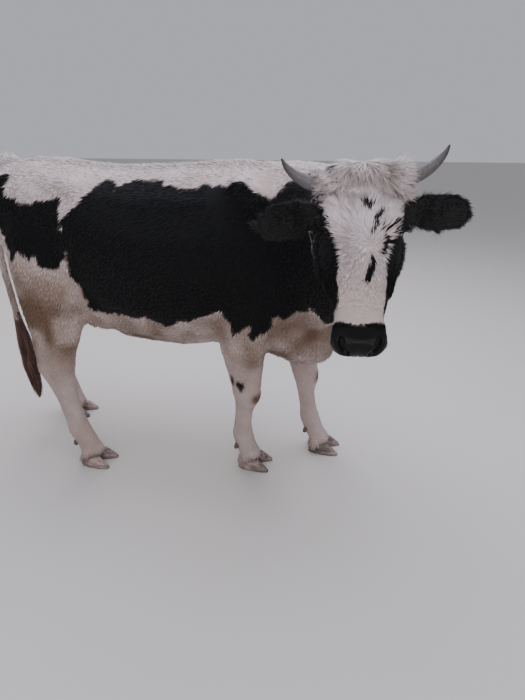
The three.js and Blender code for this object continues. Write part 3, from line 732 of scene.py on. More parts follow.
FLANK_FOLD = [(0.345, 0.95), (0.385, 0.83), (0.425, 0.75), (0.480, 0.715)]


def shape_folds(points):
    """Loose skin: the web from belly to stifle on each side, and folds on the brisket."""
    body = in_body(points)
    side = np.stack([body[:, 0], body[:, 2], np.zeros(len(body))], axis=1)
    web = np.array([[x, z, 0] for x, z in FLANK_FOLD])
    away = follow(side, web)[0]
    on_flank = fade(0.10, 0.16, np.abs(body[:, 1]))
    move = 0.007 * fade(0.030, 0.004, away) * on_flank
    behind = follow(side + [0.045, 0.01, 0], web)[0]
    move -= 0.005 * fade(0.035, 0.008, behind) * on_flank
    brisket = blob(body, [1.30, -0.10, 0.80], [0.20, 0.30, 0.17])
    waves = np.sin(2 * math.pi * (body[:, 0] - 0.25 * body[:, 2] + 0.4 * np.abs(body[:, 1])) / 0.085)
    move += 0.0045 * waves * brisket
    return move


print("the flank fold runs through", len(FLANK_FOLD), "places")

# %% Draw the skin in
split_where(skin_bm, near_eyes)
points, neighbours = mesh_arrays(skin_bm)
parts = part_at(points)
skin_bm.normal_update()
normals = np.array([v.normal for v in skin_bm.verts])
formed = spread(shape_legs(points, parts) + shape_folds(points), neighbours, 2)
points = points + normals * formed[:, None]
write_points(skin_bm, points)
skin_bm.normal_update()
normals = np.array([v.normal for v in skin_bm.verts])
points = points - normals * coat_depth(in_head(points), parts, neighbours)[:, None]
head = in_head(points)
on_face = near_head(points) & (np.abs(head[:, 1]) < 0.125) & (head[:, 0] > -0.01)
face_points, face_normals = head[on_face], (normals @ TURN)[on_face]
face_points = shape_face(face_points, face_normals)
face_points = shape_lids(face_points)
points[on_face] = from_head(face_points)
write_points(skin_bm, points)
skin_bm.normal_update()
print("face shaped:", int(on_face.sum()), "points;", len(skin_bm.faces), "faces in the skin")

# %% The skin's mesh
skin_mesh = bpy.data.meshes.new("skin")
skin_bm.to_mesh(skin_mesh)
_, skin_neighbours = mesh_arrays(skin_bm)
skin_bm.free()
skin_mesh.shade_smooth()
skin = in_scene("skin", skin_mesh)
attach(skin, "root")
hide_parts(*FLESH)
print("the skin stands for", len(FLESH), "nodes")

# %% [markdown]
# ## The black patches
# The coat is white with black patches. Each patch is a few corner
# points, drawn as seen from its own side of the cow, and a smooth noise frays its edge, as hair
# of two colours does. The same function colours the skin and each tuft, so both agree. The
# distance along the neck is measured on the bent neck, so a patch follows the neck round.

# %% Spine, patches and face marks
SPINE = np.array([[-0.10, 0, 1.00], [0.30, 0, 0.99], [0.65, 0, 0.97], [1.00, 0.010, 0.960],
                  [1.06, 0.002, 0.965], [1.18, -0.038, 0.985], [1.30, -0.118, 1.030],
                  [1.394, -0.228, 1.082], [1.448, -0.338, 1.132], [1.474, -0.428, 1.160],
                  [1.484, -0.53, 1.184]])
NECK_TURN = 1.06  # from here on, the left patches are measured along the outside of the bend
NECK_LAG = 0.10  # the spine's line starts this far behind the body frame's origin
LEAST_BLACK = 0.66  # no patch of the body comes nearer to the ground

# millimetres along the cow and up; the right side is the inside of the neck's bend
FLANK_RIGHT = [
    (368, 1099), (400, 1133), (450, 1172), (491, 1232), (520, 1248), (555, 1246), (570, 1222),
    (610, 1231), (667, 1245), (746, 1249), (821, 1216), (880, 1226), (927, 1236), (995, 1239),
    (1063, 1253), (1090, 1221), (1125, 1202), (1156, 1193), (1187, 1212), (1221, 1249), (1290, 1274),
    (1400, 1288), (1500, 1296), (1700, 1300), (1700, 700), (1480, 800), (1370, 762), (1348, 814),
    (1330, 835), (1298, 817), (1235, 776), (1177, 759), (1164, 736), (1145, 708), (1109, 681),
    (1093, 693), (1086, 725), (1055, 711), (1023, 695), (1001, 761), (971, 790), (949, 783), (912, 770),
    (854, 755), (810, 730), (767, 721), (713, 755), (620, 752), (541, 741), (501, 746), (445, 732),
    (415, 774), (412, 824), (374, 876), (375, 931),
]
RUMP_RIGHT = [
    (40, 1236), (76, 1261), (143, 1256), (117, 1193), (209, 1150), (285, 1167), (327, 1178), (372, 1182),
    (367, 1112), (392, 1085), (392, 1000), (362, 962), (323, 908), (283, 909), (250, 927), (233, 968),
    (203, 940), (158, 964), (105, 929), (82, 1032), (30, 1060),
]
FLANK_LEFT = [
    (470, 1090), (520, 1190), (600, 1228), (690, 1222), (760, 1180), (830, 1196), (900, 1248),
    (1010, 1262), (1120, 1240), (1221, 1262), (1400, 1282), (1950, 1290), (1950, 700), (1480, 800),
    (1330, 850), (1210, 800), (1120, 748), (1060, 690), (1000, 742), (930, 800), (840, 788), (760, 742),
    (660, 720), (560, 748), (480, 830), (450, 960),
]
RUMP_LEFT = [
    (30, 1240), (110, 1262), (210, 1228), (300, 1180), (330, 1110), (300, 1010), (240, 930), (180, 950),
    (130, 900), (70, 950), (20, 1060),
]
# head frame: where the white blaze ends on each side, down the face
BLAZE_RIGHT = [
    (0.0, 0.160), (0.09, 0.125), (0.121, 0.105), (0.140, 0.100), (0.163, 0.089), (0.184, 0.078),
    (0.204, 0.070), (0.227, 0.064), (0.242, 0.065), (0.287, 0.062), (0.339, 0.056), (0.366, 0.066),
    (0.50, 0.066),
]
BLAZE_LEFT = [
    (0.0, 0.160), (0.09, 0.120), (0.119, 0.103), (0.137, 0.098), (0.147, 0.096), (0.172, 0.090),
    (0.184, 0.080), (0.219, 0.076), (0.245, 0.067), (0.285, 0.065), (0.335, 0.062), (0.366, 0.064),
    (0.50, 0.066),
]
# head frame: strokes of black hair, each from one place to another with a half width; hairs of
# both colours mix in the strokes that are marked thin
STREAKS = [
    ((84, -3), (84, 23), 7, "thin"), ((92, 2), (101, 13), 7, "thin"),
    ((109, 46), (124, 32), 5.5, "thin"), ((136, 42), (157, 22), 5, "full"),
    ((142, 46), (146, 58), 4.5, "full"), ((146, 60), (149, 73), 3.5, "full"),
    ((149, 73), (138, 88), 3.5, "full"), ((138, 87), (136, 98), 3.5, "full"),
    ((155, 68), (171, 64), 3, "full"), ((171, 64), (178, 70), 3, "full"),
    ((176, 70), (216, 59), 7, "full"), ((163, 38), (163, 52), 4, "thin"),
    ((188, 34), (189, 52), 4.5, "thin"), ((228, 24), (246, 29), 4.5, "full"),
    ((244, 30), (262, 27), 7, "full"), ((262, 24), (290, 15), 9, "full"),
    ((-2, -88), (-19, -54), 8, "thin"),
]
LEG_SPOTS = [((1022, -163, 449), (12, 45, 18)), ((1034, -163, 446), (12, 45, 18)),
             ((1029, -163, 430), (10, 45, 19)), ((993, -159, 466), (8, 45, 27))]
FLANK_SPOT = (369, 1070)


print("corners of patches:", [len(t) for t in (FLANK_RIGHT, RUMP_RIGHT, FLANK_LEFT, RUMP_LEFT)])


# %% Marks of the body
def inside(points, corners):
    """Signed distance in metres to the edge of a flat patch, negative inside it."""
    corners = np.array(corners, dtype=float) * MM
    best, crossed = np.full(len(points), 9.0), np.zeros(len(points), dtype=int)
    for a, b in zip(corners, np.roll(corners, -1, axis=0)):
        way = b - a
        t = np.clip(((points - a) @ way) / (way @ way + 1e-12), 0, 1)
        gone = norm(points - a - t[:, None] * way, axis=1)
        best = np.minimum(best, gone)
        over = (a[1] > points[:, 1]) != (b[1] > points[:, 1])
        x = a[0] + (points[:, 1] - a[1]) / (b[1] - a[1] + 1e-12) * way[0]
        crossed += over & (points[:, 0] < x)
    return np.where(crossed % 2 == 1, -best, best)


def side_of_spine(body):
    """Which side of the spine a point is on (negative is the cow's right), and how far along."""
    _, arc, ways, places = follow(body, SPINE)
    left = np.cross([0, 0, 1.0], ways)
    across = np.einsum("ij,ij->i", body - places, unit(left))
    plain = (body[:, 0] < NECK_TURN) | (across < 0)
    along = np.where(plain, body[:, 0], arc - NECK_LAG)
    return across, along, ways, places


def body_black(points):
    """Signed distance to the black patches of the body, negative in the black."""
    body = in_body(points)
    across, along, _, _ = side_of_spine(body)
    flat = np.stack([along, body[:, 2]], axis=1)
    right = np.minimum(inside(flat, FLANK_RIGHT), inside(flat, RUMP_RIGHT))
    spot = np.hypot(flat[:, 0] - FLANK_SPOT[0] * MM, (flat[:, 1] - FLANK_SPOT[1] * MM) * 0.6)
    right = np.maximum(right, 0.007 - spot)
    left = np.minimum(inside(flat, FLANK_LEFT), inside(flat, RUMP_LEFT))
    edge = np.where(across < 0, right, left)
    top = fade(0.02, 0.0, np.abs(across)) * (body[:, 2] > 1.0) * 0.05
    edge = edge + top
    return np.maximum(edge, (LEAST_BLACK - body[:, 2]) * 0.8)


def leg_spots(points):
    """Signed distance to the small spots above the knee."""
    edge = np.full(len(points), 9.0)
    for place, reach in LEG_SPOTS:
        gone = (in_body(points) - np.array(place) * MM) / (np.array(reach) * MM)
        edge = np.minimum(edge, (norm(gone, axis=1) - 1) * 0.012)
    return edge


print("the right flank's patch ends", round(1000 * inside(np.array([[0.7, 1.35]]), FLANK_RIGHT)[0]),
      "mm below a height of 1.35 m")


# %% Marks of the head
def head_black(head):
    """Signed distance to the black of the head: cheeks, jaw and muzzle."""
    x, y, z = head.T
    right = np.interp(x, *np.transpose(BLAZE_RIGHT))
    left = np.interp(x, *np.transpose(BLAZE_LEFT))
    cheek = np.where(y < 0, right + y, left - y)
    low = np.interp(x, [-0.08, 0.0, 0.08, 0.13, 0.20, 0.32, 0.38],
                    [-0.06, -0.062, -0.056, -0.040, -0.085, -0.105, -0.105])
    white = np.minimum(cheek, z - low)
    white = np.minimum(white, 0.400 + 0.006 * np.cos(y * 45) - x)
    white = np.minimum(white, np.where(x < -0.03, 0.11 - np.abs(y), 9))
    crest = (x < 0.04) & (z > -0.11) & (np.abs(y) < 0.10)
    return np.where(crest, np.maximum(white, 0.02), white)


def face_streaks(head):
    """Signed distance to the black streaks of the forehead and face."""
    x, _, z = head.T
    edge = np.full(len(head), 9.0)
    flat = head[:, :2] / MM
    for a, b, half, kind in STREAKS:
        a, b = np.array(a, float), np.array(b, float)
        way = b - a
        t = np.clip(((flat - a) @ way) / (way @ way), 0, 1)
        gone = norm(flat - a - t[:, None] * way, axis=1)
        width = half * (1.15 - 0.35 * t)
        on_front = np.where((z > -0.07) | (x < 0), 0, 9.0)
        stroke = (gone - width) * MM * 0.9
        stroke = np.maximum(stroke, 0.0) if kind == "thin" else stroke
        edge = np.minimum(edge, stroke + on_front)
    return edge


print("black at the cheek, white on the nose:",
      head_black(np.array([[0.25, 0.09, -0.06], [0.25, 0.0, 0.0]])) < 0)


# %% Earth and painted shade in the coat, and white or black
def soil_and_shade_share(points):
    """How far the hair darkens towards earth brown: earth at the knees, hocks and feet, and earth with
    painted shade on the belly, brisket, thighs and lower legs.
    """
    body = in_body(points)
    z = body[:, 2]
    # earth and painted shade: the hair darkens below the back, and under the belly, on the thighs and on
    # the brisket this stands partly for earth and partly for shade under the body
    soil_and_shade = 0.08 + 0.60 * fade(1.06, 0.72, z) * fade(0.36, 0.60, z) + 0.22 * fade(0.6, 0.3, z)
    soil_and_shade += 0.30 * blob(body, [0.20, -0.2, 0.80], [0.26, 0.3, 0.34])
    soil_and_shade += 0.30 * blob(body, [1.27, -0.05, 0.74], [0.20, 0.3, 0.18])
    for knee in ([1.090, -0.118, 0.375], [1.315, 0.156, 0.375]):
        soil_and_shade += 0.75 * blob(body, knee, [0.045, 0.06, 0.05])
    for hock in ([0.125, -0.205, 0.47], [-0.15, 0.22, 0.47]):
        soil_and_shade += 0.60 * blob(body, hock, [0.075, 0.07, 0.10])
    soil_and_shade += 0.45 * fade(0.085, 0.03, z)
    x, y, z = in_head(points).T
    clean_face = fade(0.05, 0.15, x) * fade(-0.15, -0.10, z) * fade(0.15, 0.11, np.abs(y))
    return np.clip(soil_and_shade * (1 - 0.85 * clean_face) * (1 + 0.5 * wobble(points, 0.06, 24)), 0, 1)


def black_share(points, parts, soft=0.004):
    """0 in white hair, 1 in black hair, for points on parts of the flesh."""
    head = in_head(points)
    on_head = among(parts, "head", "muzzle")
    on_head |= (head[:, 0] < 0.07) & (head[:, 2] > -0.085) & (np.abs(head[:, 1]) < 0.13)
    on_ear = among(parts, "ear_right", "ear_left")
    ragged = 0.011 * wobble(points, 0.030, 3) + 0.006 * wobble(points, 0.013, 4)
    ragged += 0.004 * wobble(points, 0.006, 5)
    notch = blob(in_body(points), [0.385, -0.26, 1.10], [0.07, 0.12, 0.10])
    body = body_black(points) + ragged * (1 - 0.75 * notch)
    body = np.minimum(body, leg_spots(points) + 0.15 * ragged)
    body += 0.09 * blob(head, [-0.05, 0, -0.11], [0.09, 0.12, 0.10])
    at_lip = fade(0.37, 0.39, head[:, 0])
    by_eye = blob(head, [0.160, 0.082, -0.01], [0.035, 0.035, 0.06])
    face = head_black(head) + ragged * (0.40 - 0.34 * by_eye)
    face += 0.004 * at_lip * wobble(points, 0.0045, 30)
    face = np.minimum(face, face_streaks(head) + 0.15 * ragged)
    edge = np.where(on_head, face, body)
    edge = np.where(on_ear, -0.02, edge)
    tail = parts == FLESH.index("tail")
    edge = np.where(tail, 0.02, edge)
    return fade(soft, -soft, edge)


print("earth at the hocks:", soil_and_shade_share(BODY + np.array([[0.125, -0.205, 0.47]])).round(2))


# %% [markdown]
# ## Which way the hair lies
# Hair streams from a few centres. On a cow it runs from the head back along the neck and trunk
# and slants down the sides, then straight down the legs. The forehead has a whorl: above it hair
# grows up towards the crown, below it down to the muzzle, and the forelock falls over the crown
# from between the horns and sweeps out over the horn bases.

# %% Lie of the coat on the head
WHORL = np.array([0.197, 0.016])
PARTING = 0.078  # where the forelock meets the hair that grows up from the whorl
EARS = {"ear_left": [(0.082, 0.080, -0.082), (0.075, 0.318, -0.101)],
        "ear_right": [(0.082, -0.080, -0.082), (0.103, -0.314, -0.165)]}
TAIL = np.array([[0.06, 1.262], [0.03, 1.284], [-0.03, 1.296], [-0.088, 1.276], [-0.122, 1.21],
                 [-0.132, 1.10], [-0.13, 0.96], [-0.118, 0.82], [-0.104, 0.70], [-0.092, 0.59],
                 [-0.084, 0.52], [-0.076, 0.44], [-0.068, 0.36], [-0.06, 0.29], [-0.053, 0.235],
                 [-0.05, 0.20]])
TAIL = np.stack([TAIL[:, 0], np.zeros(len(TAIL)), TAIL[:, 1]], axis=1)


def mixed(first, second, share):
    return first * (1 - share[:, None]) + second * share[:, None]


def head_way(head, normals):
    """Lie of the hair on the head, from places in the head frame."""
    x, y, _ = head.T
    side = np.sign(y)
    none = np.zeros(len(x))
    from_whorl = np.stack([x - WHORL[0], y - WHORL[1], none], axis=1)
    near_whorl = fade(0.05, 0.0, np.hypot(from_whorl[:, 0], from_whorl[:, 1]))
    swirl = np.stack([-from_whorl[:, 1], from_whorl[:, 0], none], axis=1)
    blaze = unit(from_whorl) + 1.1 * near_whorl[:, None] * unit(swirl)
    straight = np.stack([none + 1, 0.15 * side * np.clip(np.abs(y) * 12, 0, 1), none - 0.1], axis=1)
    blaze = mixed(blaze, straight, fade(0.21, 0.30, x))
    spread_out = np.clip(np.abs(y) / 0.060, 0, 1.30)
    fore = np.stack([np.cos(spread_out), side * np.sin(spread_out), none], axis=1)
    behind = np.stack([none - 0.5, 0.55 * side, none - 0.8], axis=1)
    fore = mixed(fore, behind, fade(-0.018, -0.045, x))
    front = mixed(fore, blaze, fade(PARTING - 0.006, PARTING + 0.006, x + 0.25 * np.abs(y)))
    cheek = np.stack([none - 0.55, 0.15 * side, none - 0.85], axis=1)
    cheek = mixed(cheek, np.stack([none + 0.55, none, none - 0.85], axis=1), fade(0.24, 0.36, x))
    turned = fade(0.45, -0.05, (normals @ TURN)[:, 2]) * (x > 0.05)
    return mixed(front, cheek, turned) @ TURN.T


print("the whorl lies", round(1000 * WHORL[0]), "mm below the crown")


# %% Lie of the coat on the body
def hair_way(points, normals, parts):
    """Lie of the hair at each point, as a unit vector along the skin."""
    body = in_body(points)
    _, _, ways, _ = side_of_spine(body)
    down = np.array([0, 0, -1.0])
    steep = 0.22 + 0.75 * fade(0.25, 1.0, np.abs(normals[:, 1]))
    way = -ways + steep[:, None] * down
    way[:, 2] += 0.30 * wobble(points, 0.35, 8)
    way[:, 1] += 0.15 * wobble(points, 0.30, 9)
    named = {name: parts == number for number, name in enumerate(FLESH)}
    for name, flags in named.items():
        if not flags.any():
            continue
        if name.startswith("leg"):
            lean = (-0.30 if "hind" in name else -0.12) if name.endswith("upper") else 0.10
            way[flags] = down + np.array([lean, 0, 0])
        elif name == "tail":
            way[flags] = follow(body[flags], TAIL)[2]
        elif name == "udder":
            way[flags] = down + np.array([0.2, 0, 0])
        elif name in EARS:
            root, tip = from_head(np.array(EARS[name]))
            out = points[flags] - (root + (tip - root) * 0.1)
            way[flags] = unit(out) + 0.5 * unit(tip - root)
        elif name in ("head", "muzzle"):
            way[flags] = head_way(in_head(points[flags]), normals[flags])
    way = way - normals * np.einsum("ij,ij->i", way, normals)[:, None]
    return unit(way)


print("hair runs along", len(SPINE), "places of the spine and", len(TAIL), "of the tail")

# %% [markdown]
# ## Materials of the coat
# Hair is translucent keratin round a core of pigment. White hair has none and looks cream;
# black hair on cattle is a very dark brown that mirrors the sky, and here its colour also has a
# blue cast, a painted reflection of the sky. The shader mixes the two by the mark that each tuft
# carries, makes each tuft a little lighter or darker, paints shade towards the root of each tuft,
# and darkens the white towards the belly and feet with earth, where the cow lies on the ground,
# and with painted shade under the body.

# %% Coat and skin materials
# the black hair's blue cast is a painted reflection of the sky; the hair itself is a very dark brown
WHITE_HAIR, CREAM_HAIR, BLACK_HAIR_WITH_PAINTED_SKY_BLUE, SUNBURNT = "#e8dee2", "#dccecb", "#04060b", "#09080b"
# the earth colours darken the white both as earth and as painted shade low on the body
EARTH_AND_SHADE, DARK_EARTH_AND_SHADE = "#ac9684", "#796351"
CLOUD = 0.09  # white hair turns creamy in clouds about a hand wide
PEBBLE = 0.0042  # the muzzle's beads are 2 to 3 mm, drawn a little coarser so that they show
UNDERCOAT = 0.0035  # locks of short hair; single hairs would be too fine to show


def coat_colour(tree):
    """Colour of the coat from its mark, tint and height above the ground."""
    mark = add(tree, "Attribute", {"attribute_name": "mark"}).outputs["Fac"]
    tint = add(tree, "Attribute", {"attribute_name": "tint"}).outputs["Fac"]
    place = add(tree, "TexCoord").outputs["Object"]
    clouds = add(tree, "TexNoise", Vector=place, Scale=1 / CLOUD, Detail=3.0).outputs["Fac"]
    white = ramp(tree, clouds, [(0.40, WHITE_HAIR), (0.72, CREAM_HAIR)])
    # earth and painted shade, stronger low on the body, mixed into the white
    soil_and_shade = add(tree, "Attribute", {"attribute_name": "soil_and_shade"}).outputs["Fac"]
    earth_and_shade = ramp(tree, soil_and_shade, [(0.35, EARTH_AND_SHADE), (1.0, DARK_EARTH_AND_SHADE)])
    white = add(tree, "MixRGB", Fac=soil_and_shade, Color1=white, Color2=earth_and_shade)
    black = ramp(tree, clouds, [(0.45, BLACK_HAIR_WITH_PAINTED_SKY_BLUE), (0.80, SUNBURNT)])
    hair = add(tree, "MixRGB", Fac=mark, Color1=white, Color2=black)
    shade = add(tree, "MapRange", Value=tint, To_Min=0.82, To_Max=1.06)
    scale = add(tree, "CombineXYZ", X=shade, Y=shade, Z=shade)
    return add(tree, "MixRGB", {"blend_type": "MULTIPLY"}, Fac=1.0, Color1=hair,
               Color2=scale).outputs[0]


def coat_material():
    """Cattle hair: soft sheen, rough, with painted shade darkening each tuft towards its root."""
    material, tree, shader = new_material("cattle_hair")
    colour = coat_colour(tree)
    tip = add(tree, "Attribute", {"attribute_name": "tip"}).outputs["Fac"]
    # painted shade: each tuft is darker towards its root, where the tufts over it would shade it
    root = add(tree, "MapRange", Value=tip, From_Max=0.5, To_Min=0.82, To_Max=1.0)
    scale = add(tree, "CombineXYZ", X=root, Y=root, Z=root)
    colour = add(tree, "MixRGB", {"blend_type": "MULTIPLY"}, Fac=1.0, Color1=colour, Color2=scale)
    feed(shader, Base_Color=colour, Roughness=0.66, Specular_IOR_Level=0.10, Sheen_Weight=0.05,
         Sheen_Roughness=0.5)
    return material


def skin_material():
    """The skin with its short undercoat; bare wet muzzle and pink udder where hair ends."""
    material, tree, shader = new_material("hide_with_undercoat")
    colour = coat_colour(tree)
    place = add(tree, "TexCoord").outputs["Object"]
    bare = add(tree, "Attribute", {"attribute_name": "bare"}).outputs["Fac"]
    pink = add(tree, "Attribute", {"attribute_name": "pink"}).outputs["Fac"]
    cells = add(tree, "TexVoronoi", {"feature": "DISTANCE_TO_EDGE"}, Vector=place, Scale=1 / PEBBLE)
    pebble = ramp(tree, cells.outputs["Distance"], [(0.0, "#040406"), (0.28, "#131113")])
    # painted shade: the skin under the tufts is coloured darker than the coat, as shade under the hair
    shaded_under_coat = add(tree, "MixRGB", {"blend_type": "MULTIPLY"}, Fac=1.0, Color1=colour,
              Color2=linear("#d3cdc9"))
    blush = add(tree, "MixRGB", Fac=pink, Color1=shaded_under_coat, Color2=linear("#b98d80"))
    whole = add(tree, "MixRGB", Fac=bare, Color1=blush, Color2=pebble)
    shine = add(tree, "MapRange", Value=bare, To_Min=0.75, To_Max=0.38)
    strands = add(tree, "TexNoise", Vector=place, Scale=1 / UNDERCOAT, Detail=4.0).outputs["Fac"]
    grain = add(tree, "MixRGB", Fac=bare, Color1=strands, Color2=cells.outputs["Distance"])
    bump = add(tree, "Bump", Height=grain, Strength=0.5, Distance=0.0016)
    feed(shader, Base_Color=whole, Roughness=shine, Specular_IOR_Level=0.20, Normal=bump)
    return material


coat_hair = coat_material()
skin_mesh.materials.append(skin_material())
print("materials:", coat_hair.name, "and", skin_mesh.materials[0].name)


# %% Colour the skin
def write_values(mesh, name, values):
    mesh.attributes.new(name, "FLOAT", "POINT").data.foreach_set("value", values.astype(np.float32))


places = np.array([v.co for v in skin_mesh.vertices])
parts = part_at(places)
skin_bare = bare_share(in_head(places)) * among(parts, "head", "muzzle")
write_values(skin_mesh, "mark", np.maximum(black_share(places, parts, 0.006), skin_bare))
write_values(skin_mesh, "tint", 0.5 + 0.25 * wobble(places, 0.02, 6))
write_values(skin_mesh, "soil_and_shade", soil_and_shade_share(places))
write_values(skin_mesh, "bare", skin_bare)
write_values(skin_mesh, "pink", spread(among(parts, "udder").astype(float), skin_neighbours, 6))
print("skin coloured:", len(places), "points")

# %% [markdown]
# ## A tuft, many times
# Real cattle hair is far too fine to model one by one, but it clings in small locks. Each tuft
# here is a thin three-sided blade, closed at the root and drawn to a point. Its ends lie along
# the lie of the coat, lifted a few degrees, so that each overlaps the next like thatch. All
# tufts of a region become one mesh, computed as arrays.

# %% Tufts from arrays
SEED = 41
ROOT_DEPTH = 0.0012  # how deep a tuft is rooted in the skin
MAP_SIDE = 0.003  # each tuft's faces cover a square of this side on its piece's map
# the ears' black hair keeps a small share of white, a painted sheen that makes the dark ears show against
# the black neck
EAR_MARK_WITH_PAINTED_SHEEN = 0.965  # black hair on the ears is this near to full black
random = np.random.default_rng(SEED)


def join_strands(name, centres, across, over, width, thick, values, uvs):
    """One closed mesh of tapering three-sided strands. centres is (strands, rings + 1, 3)."""
    count, rings = len(centres), centres.shape[1] - 1
    along = np.linspace(0, 1, rings + 1)[:-1]
    wide = width[:, None] * np.interp(along, [0, 0.35, 1], [0.75, 1.0, 0.25])
    deep = thick[:, None] * np.interp(along, [0, 0.35, 1], [0.7, 1.0, 0.3])
    ring = centres[:, :-1]
    corner_a = ring - across[:, None] * wide[..., None]
    corner_b = ring + across[:, None] * wide[..., None]
    corner_c = ring + over[:, None] * deep[..., None]
    rim = np.stack([corner_a, corner_b, corner_c], axis=2).reshape(count, rings * 3, 3)
    points = np.concatenate([rim, centres[:, -1:]], axis=1)
    faces = [(0, 1, 2)]
    for i in range(rings - 1):
        a, b = 3 * i, 3 * i + 3
        faces += [(a + 1, a, b, b + 1), (a + 2, a + 1, b + 1, b + 2), (a, a + 2, b + 2, b)]
    last, tip = 3 * rings - 3, 3 * rings
    faces += [(last + 1, last, tip), (last + 2, last + 1, tip), (last, last + 2, tip)]
    size = rings * 3 + 1
    pattern = np.concatenate([np.array(f) for f in faces])
    corners = (pattern[None] + size * np.arange(count)[:, None]).ravel()
    lengths = np.array([len(f) for f in faces])
    starts = np.concatenate([[0], np.cumsum(lengths)[:-1]])
    starts = (starts[None] + len(pattern) * np.arange(count)[:, None]).ravel()
    mesh = bpy.data.meshes.new(name)
    mesh.vertices.add(count * size)
    mesh.vertices.foreach_set("co", points.ravel().astype(np.float32))
    mesh.loops.add(len(corners))
    mesh.loops.foreach_set("vertex_index", corners.astype(np.int32))
    mesh.polygons.add(len(starts))
    mesh.polygons.foreach_set("loop_start", starts.astype(np.int32))
    mesh.update(calc_edges=True)
    mesh.shade_smooth()
    for key, value in values.items():
        write_values(mesh, key, np.repeat(value, size))
    tips = np.concatenate([np.repeat(along, 3), [1.0]])
    write_values(mesh, "tip", np.tile(tips, count))
    local = np.zeros((size, 2))
    local[:-1, 0] = np.repeat(along, 3) * MAP_SIDE
    local[:-1, 1] = np.tile([0, MAP_SIDE, MAP_SIDE / 2], rings)
    local[-1] = [MAP_SIDE, MAP_SIDE / 2]
    uv = (uvs[:, None] + local[None]).reshape(-1, 2)[corners]
    layer = mesh.uv_layers.new(name="OFBake")
    layer.data.foreach_set("uv", uv.ravel().astype(np.float32))
    piece = in_scene(name, mesh)
    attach(piece, "root")
    triangles = int((lengths - 2).sum() * count)
    print(f"{name}: {count} strands, {triangles} triangles")
    return piece


def spans(values):
    """Stretches each column to 0.02 .. 0.975, so that a piece's map fills its square."""
    low, high = values.min(axis=0), values.max(axis=0)
    return 0.02 + 0.955 * (values - low) / np.maximum(high - low, 1e-9)


def unroll(points, line):
    """An unwrap of the skin round a bent line: how far along, and the angle round it."""
    _, along, ways, places = follow(points, line)
    steady = np.array([0.31, 0.17, 0.93])
    first = unit(np.cross(ways, np.broadcast_to(steady, ways.shape)))
    second = np.cross(ways, first)
    offset = points - places
    turn = np.arctan2(np.einsum("ij,ij->i", offset, second), np.einsum("ij,ij->i", offset, first))
    return np.stack([turn / (2 * math.pi), along], axis=1)


print("random draws start from", SEED)

# %% [markdown]
# ## Places for the roots
# On the animal the follicles are spread evenly, with neither rows nor gaps. Scattering points
# by chance alone would leave bald spots, so the skin's triangles are laid end to end by area
# and the roots are drawn at even steps along them, each moved a little by chance.

# %% Places for the roots
skin_mesh.calc_loop_triangles()
corner_ids = np.array([t.vertices[:] for t in skin_mesh.loop_triangles])
skin_normals = np.array([v.normal for v in skin_mesh.vertices])
tri_parts = parts[corner_ids[:, 0]]
tri_points = places[corner_ids]
tri_area = norm(np.cross(tri_points[:, 1] - tri_points[:, 0],
                         tri_points[:, 2] - tri_points[:, 0]), axis=1) / 2
tri_middle = tri_points.mean(axis=1)
tri_normal = unit(skin_normals[corner_ids].mean(axis=1))


def roots(density):
    """Spreads roots over the skin; density holds how many per square metre on each triangle."""
    expected = np.cumsum(tri_area * density)
    total = int(expected[-1])
    picks = np.searchsorted(expected, (np.arange(total) + random.random(total)) * expected[-1] / total)
    picks = np.clip(picks, 0, len(tri_area) - 1)
    u, v = random.random(total), random.random(total)
    over = u + v > 1
    u, v = np.where(over, 1 - u, u), np.where(over, 1 - v, v)
    weights = np.stack([1 - u - v, u, v], axis=1)[..., None]
    at = (tri_points[picks] * weights).sum(axis=1)
    normal = unit((skin_normals[corner_ids[picks]] * weights).sum(axis=1))
    return at, normal, tri_parts[picks]


print("roots go on", len(tri_area), "triangles,", round(float(tri_area.sum()), 2), "square metres")


# %% From a root to a tuft
def locks(across, along, wide, long, seed):
    """Sorts hairs into locks, from how far each is across and along the lie of the coat.

    Gives each hair's place across its lock, -0.5 to 0.5, and one random number for each lock.
    """
    column = across / wide
    number = np.floor(column)
    row = np.floor(along / long + number * 0.618 % 1.0)
    chance = np.sin(number * 12.9898 + row * 78.233 + seed) * 437.585 % 1.0
    return column - number - 0.5, chance


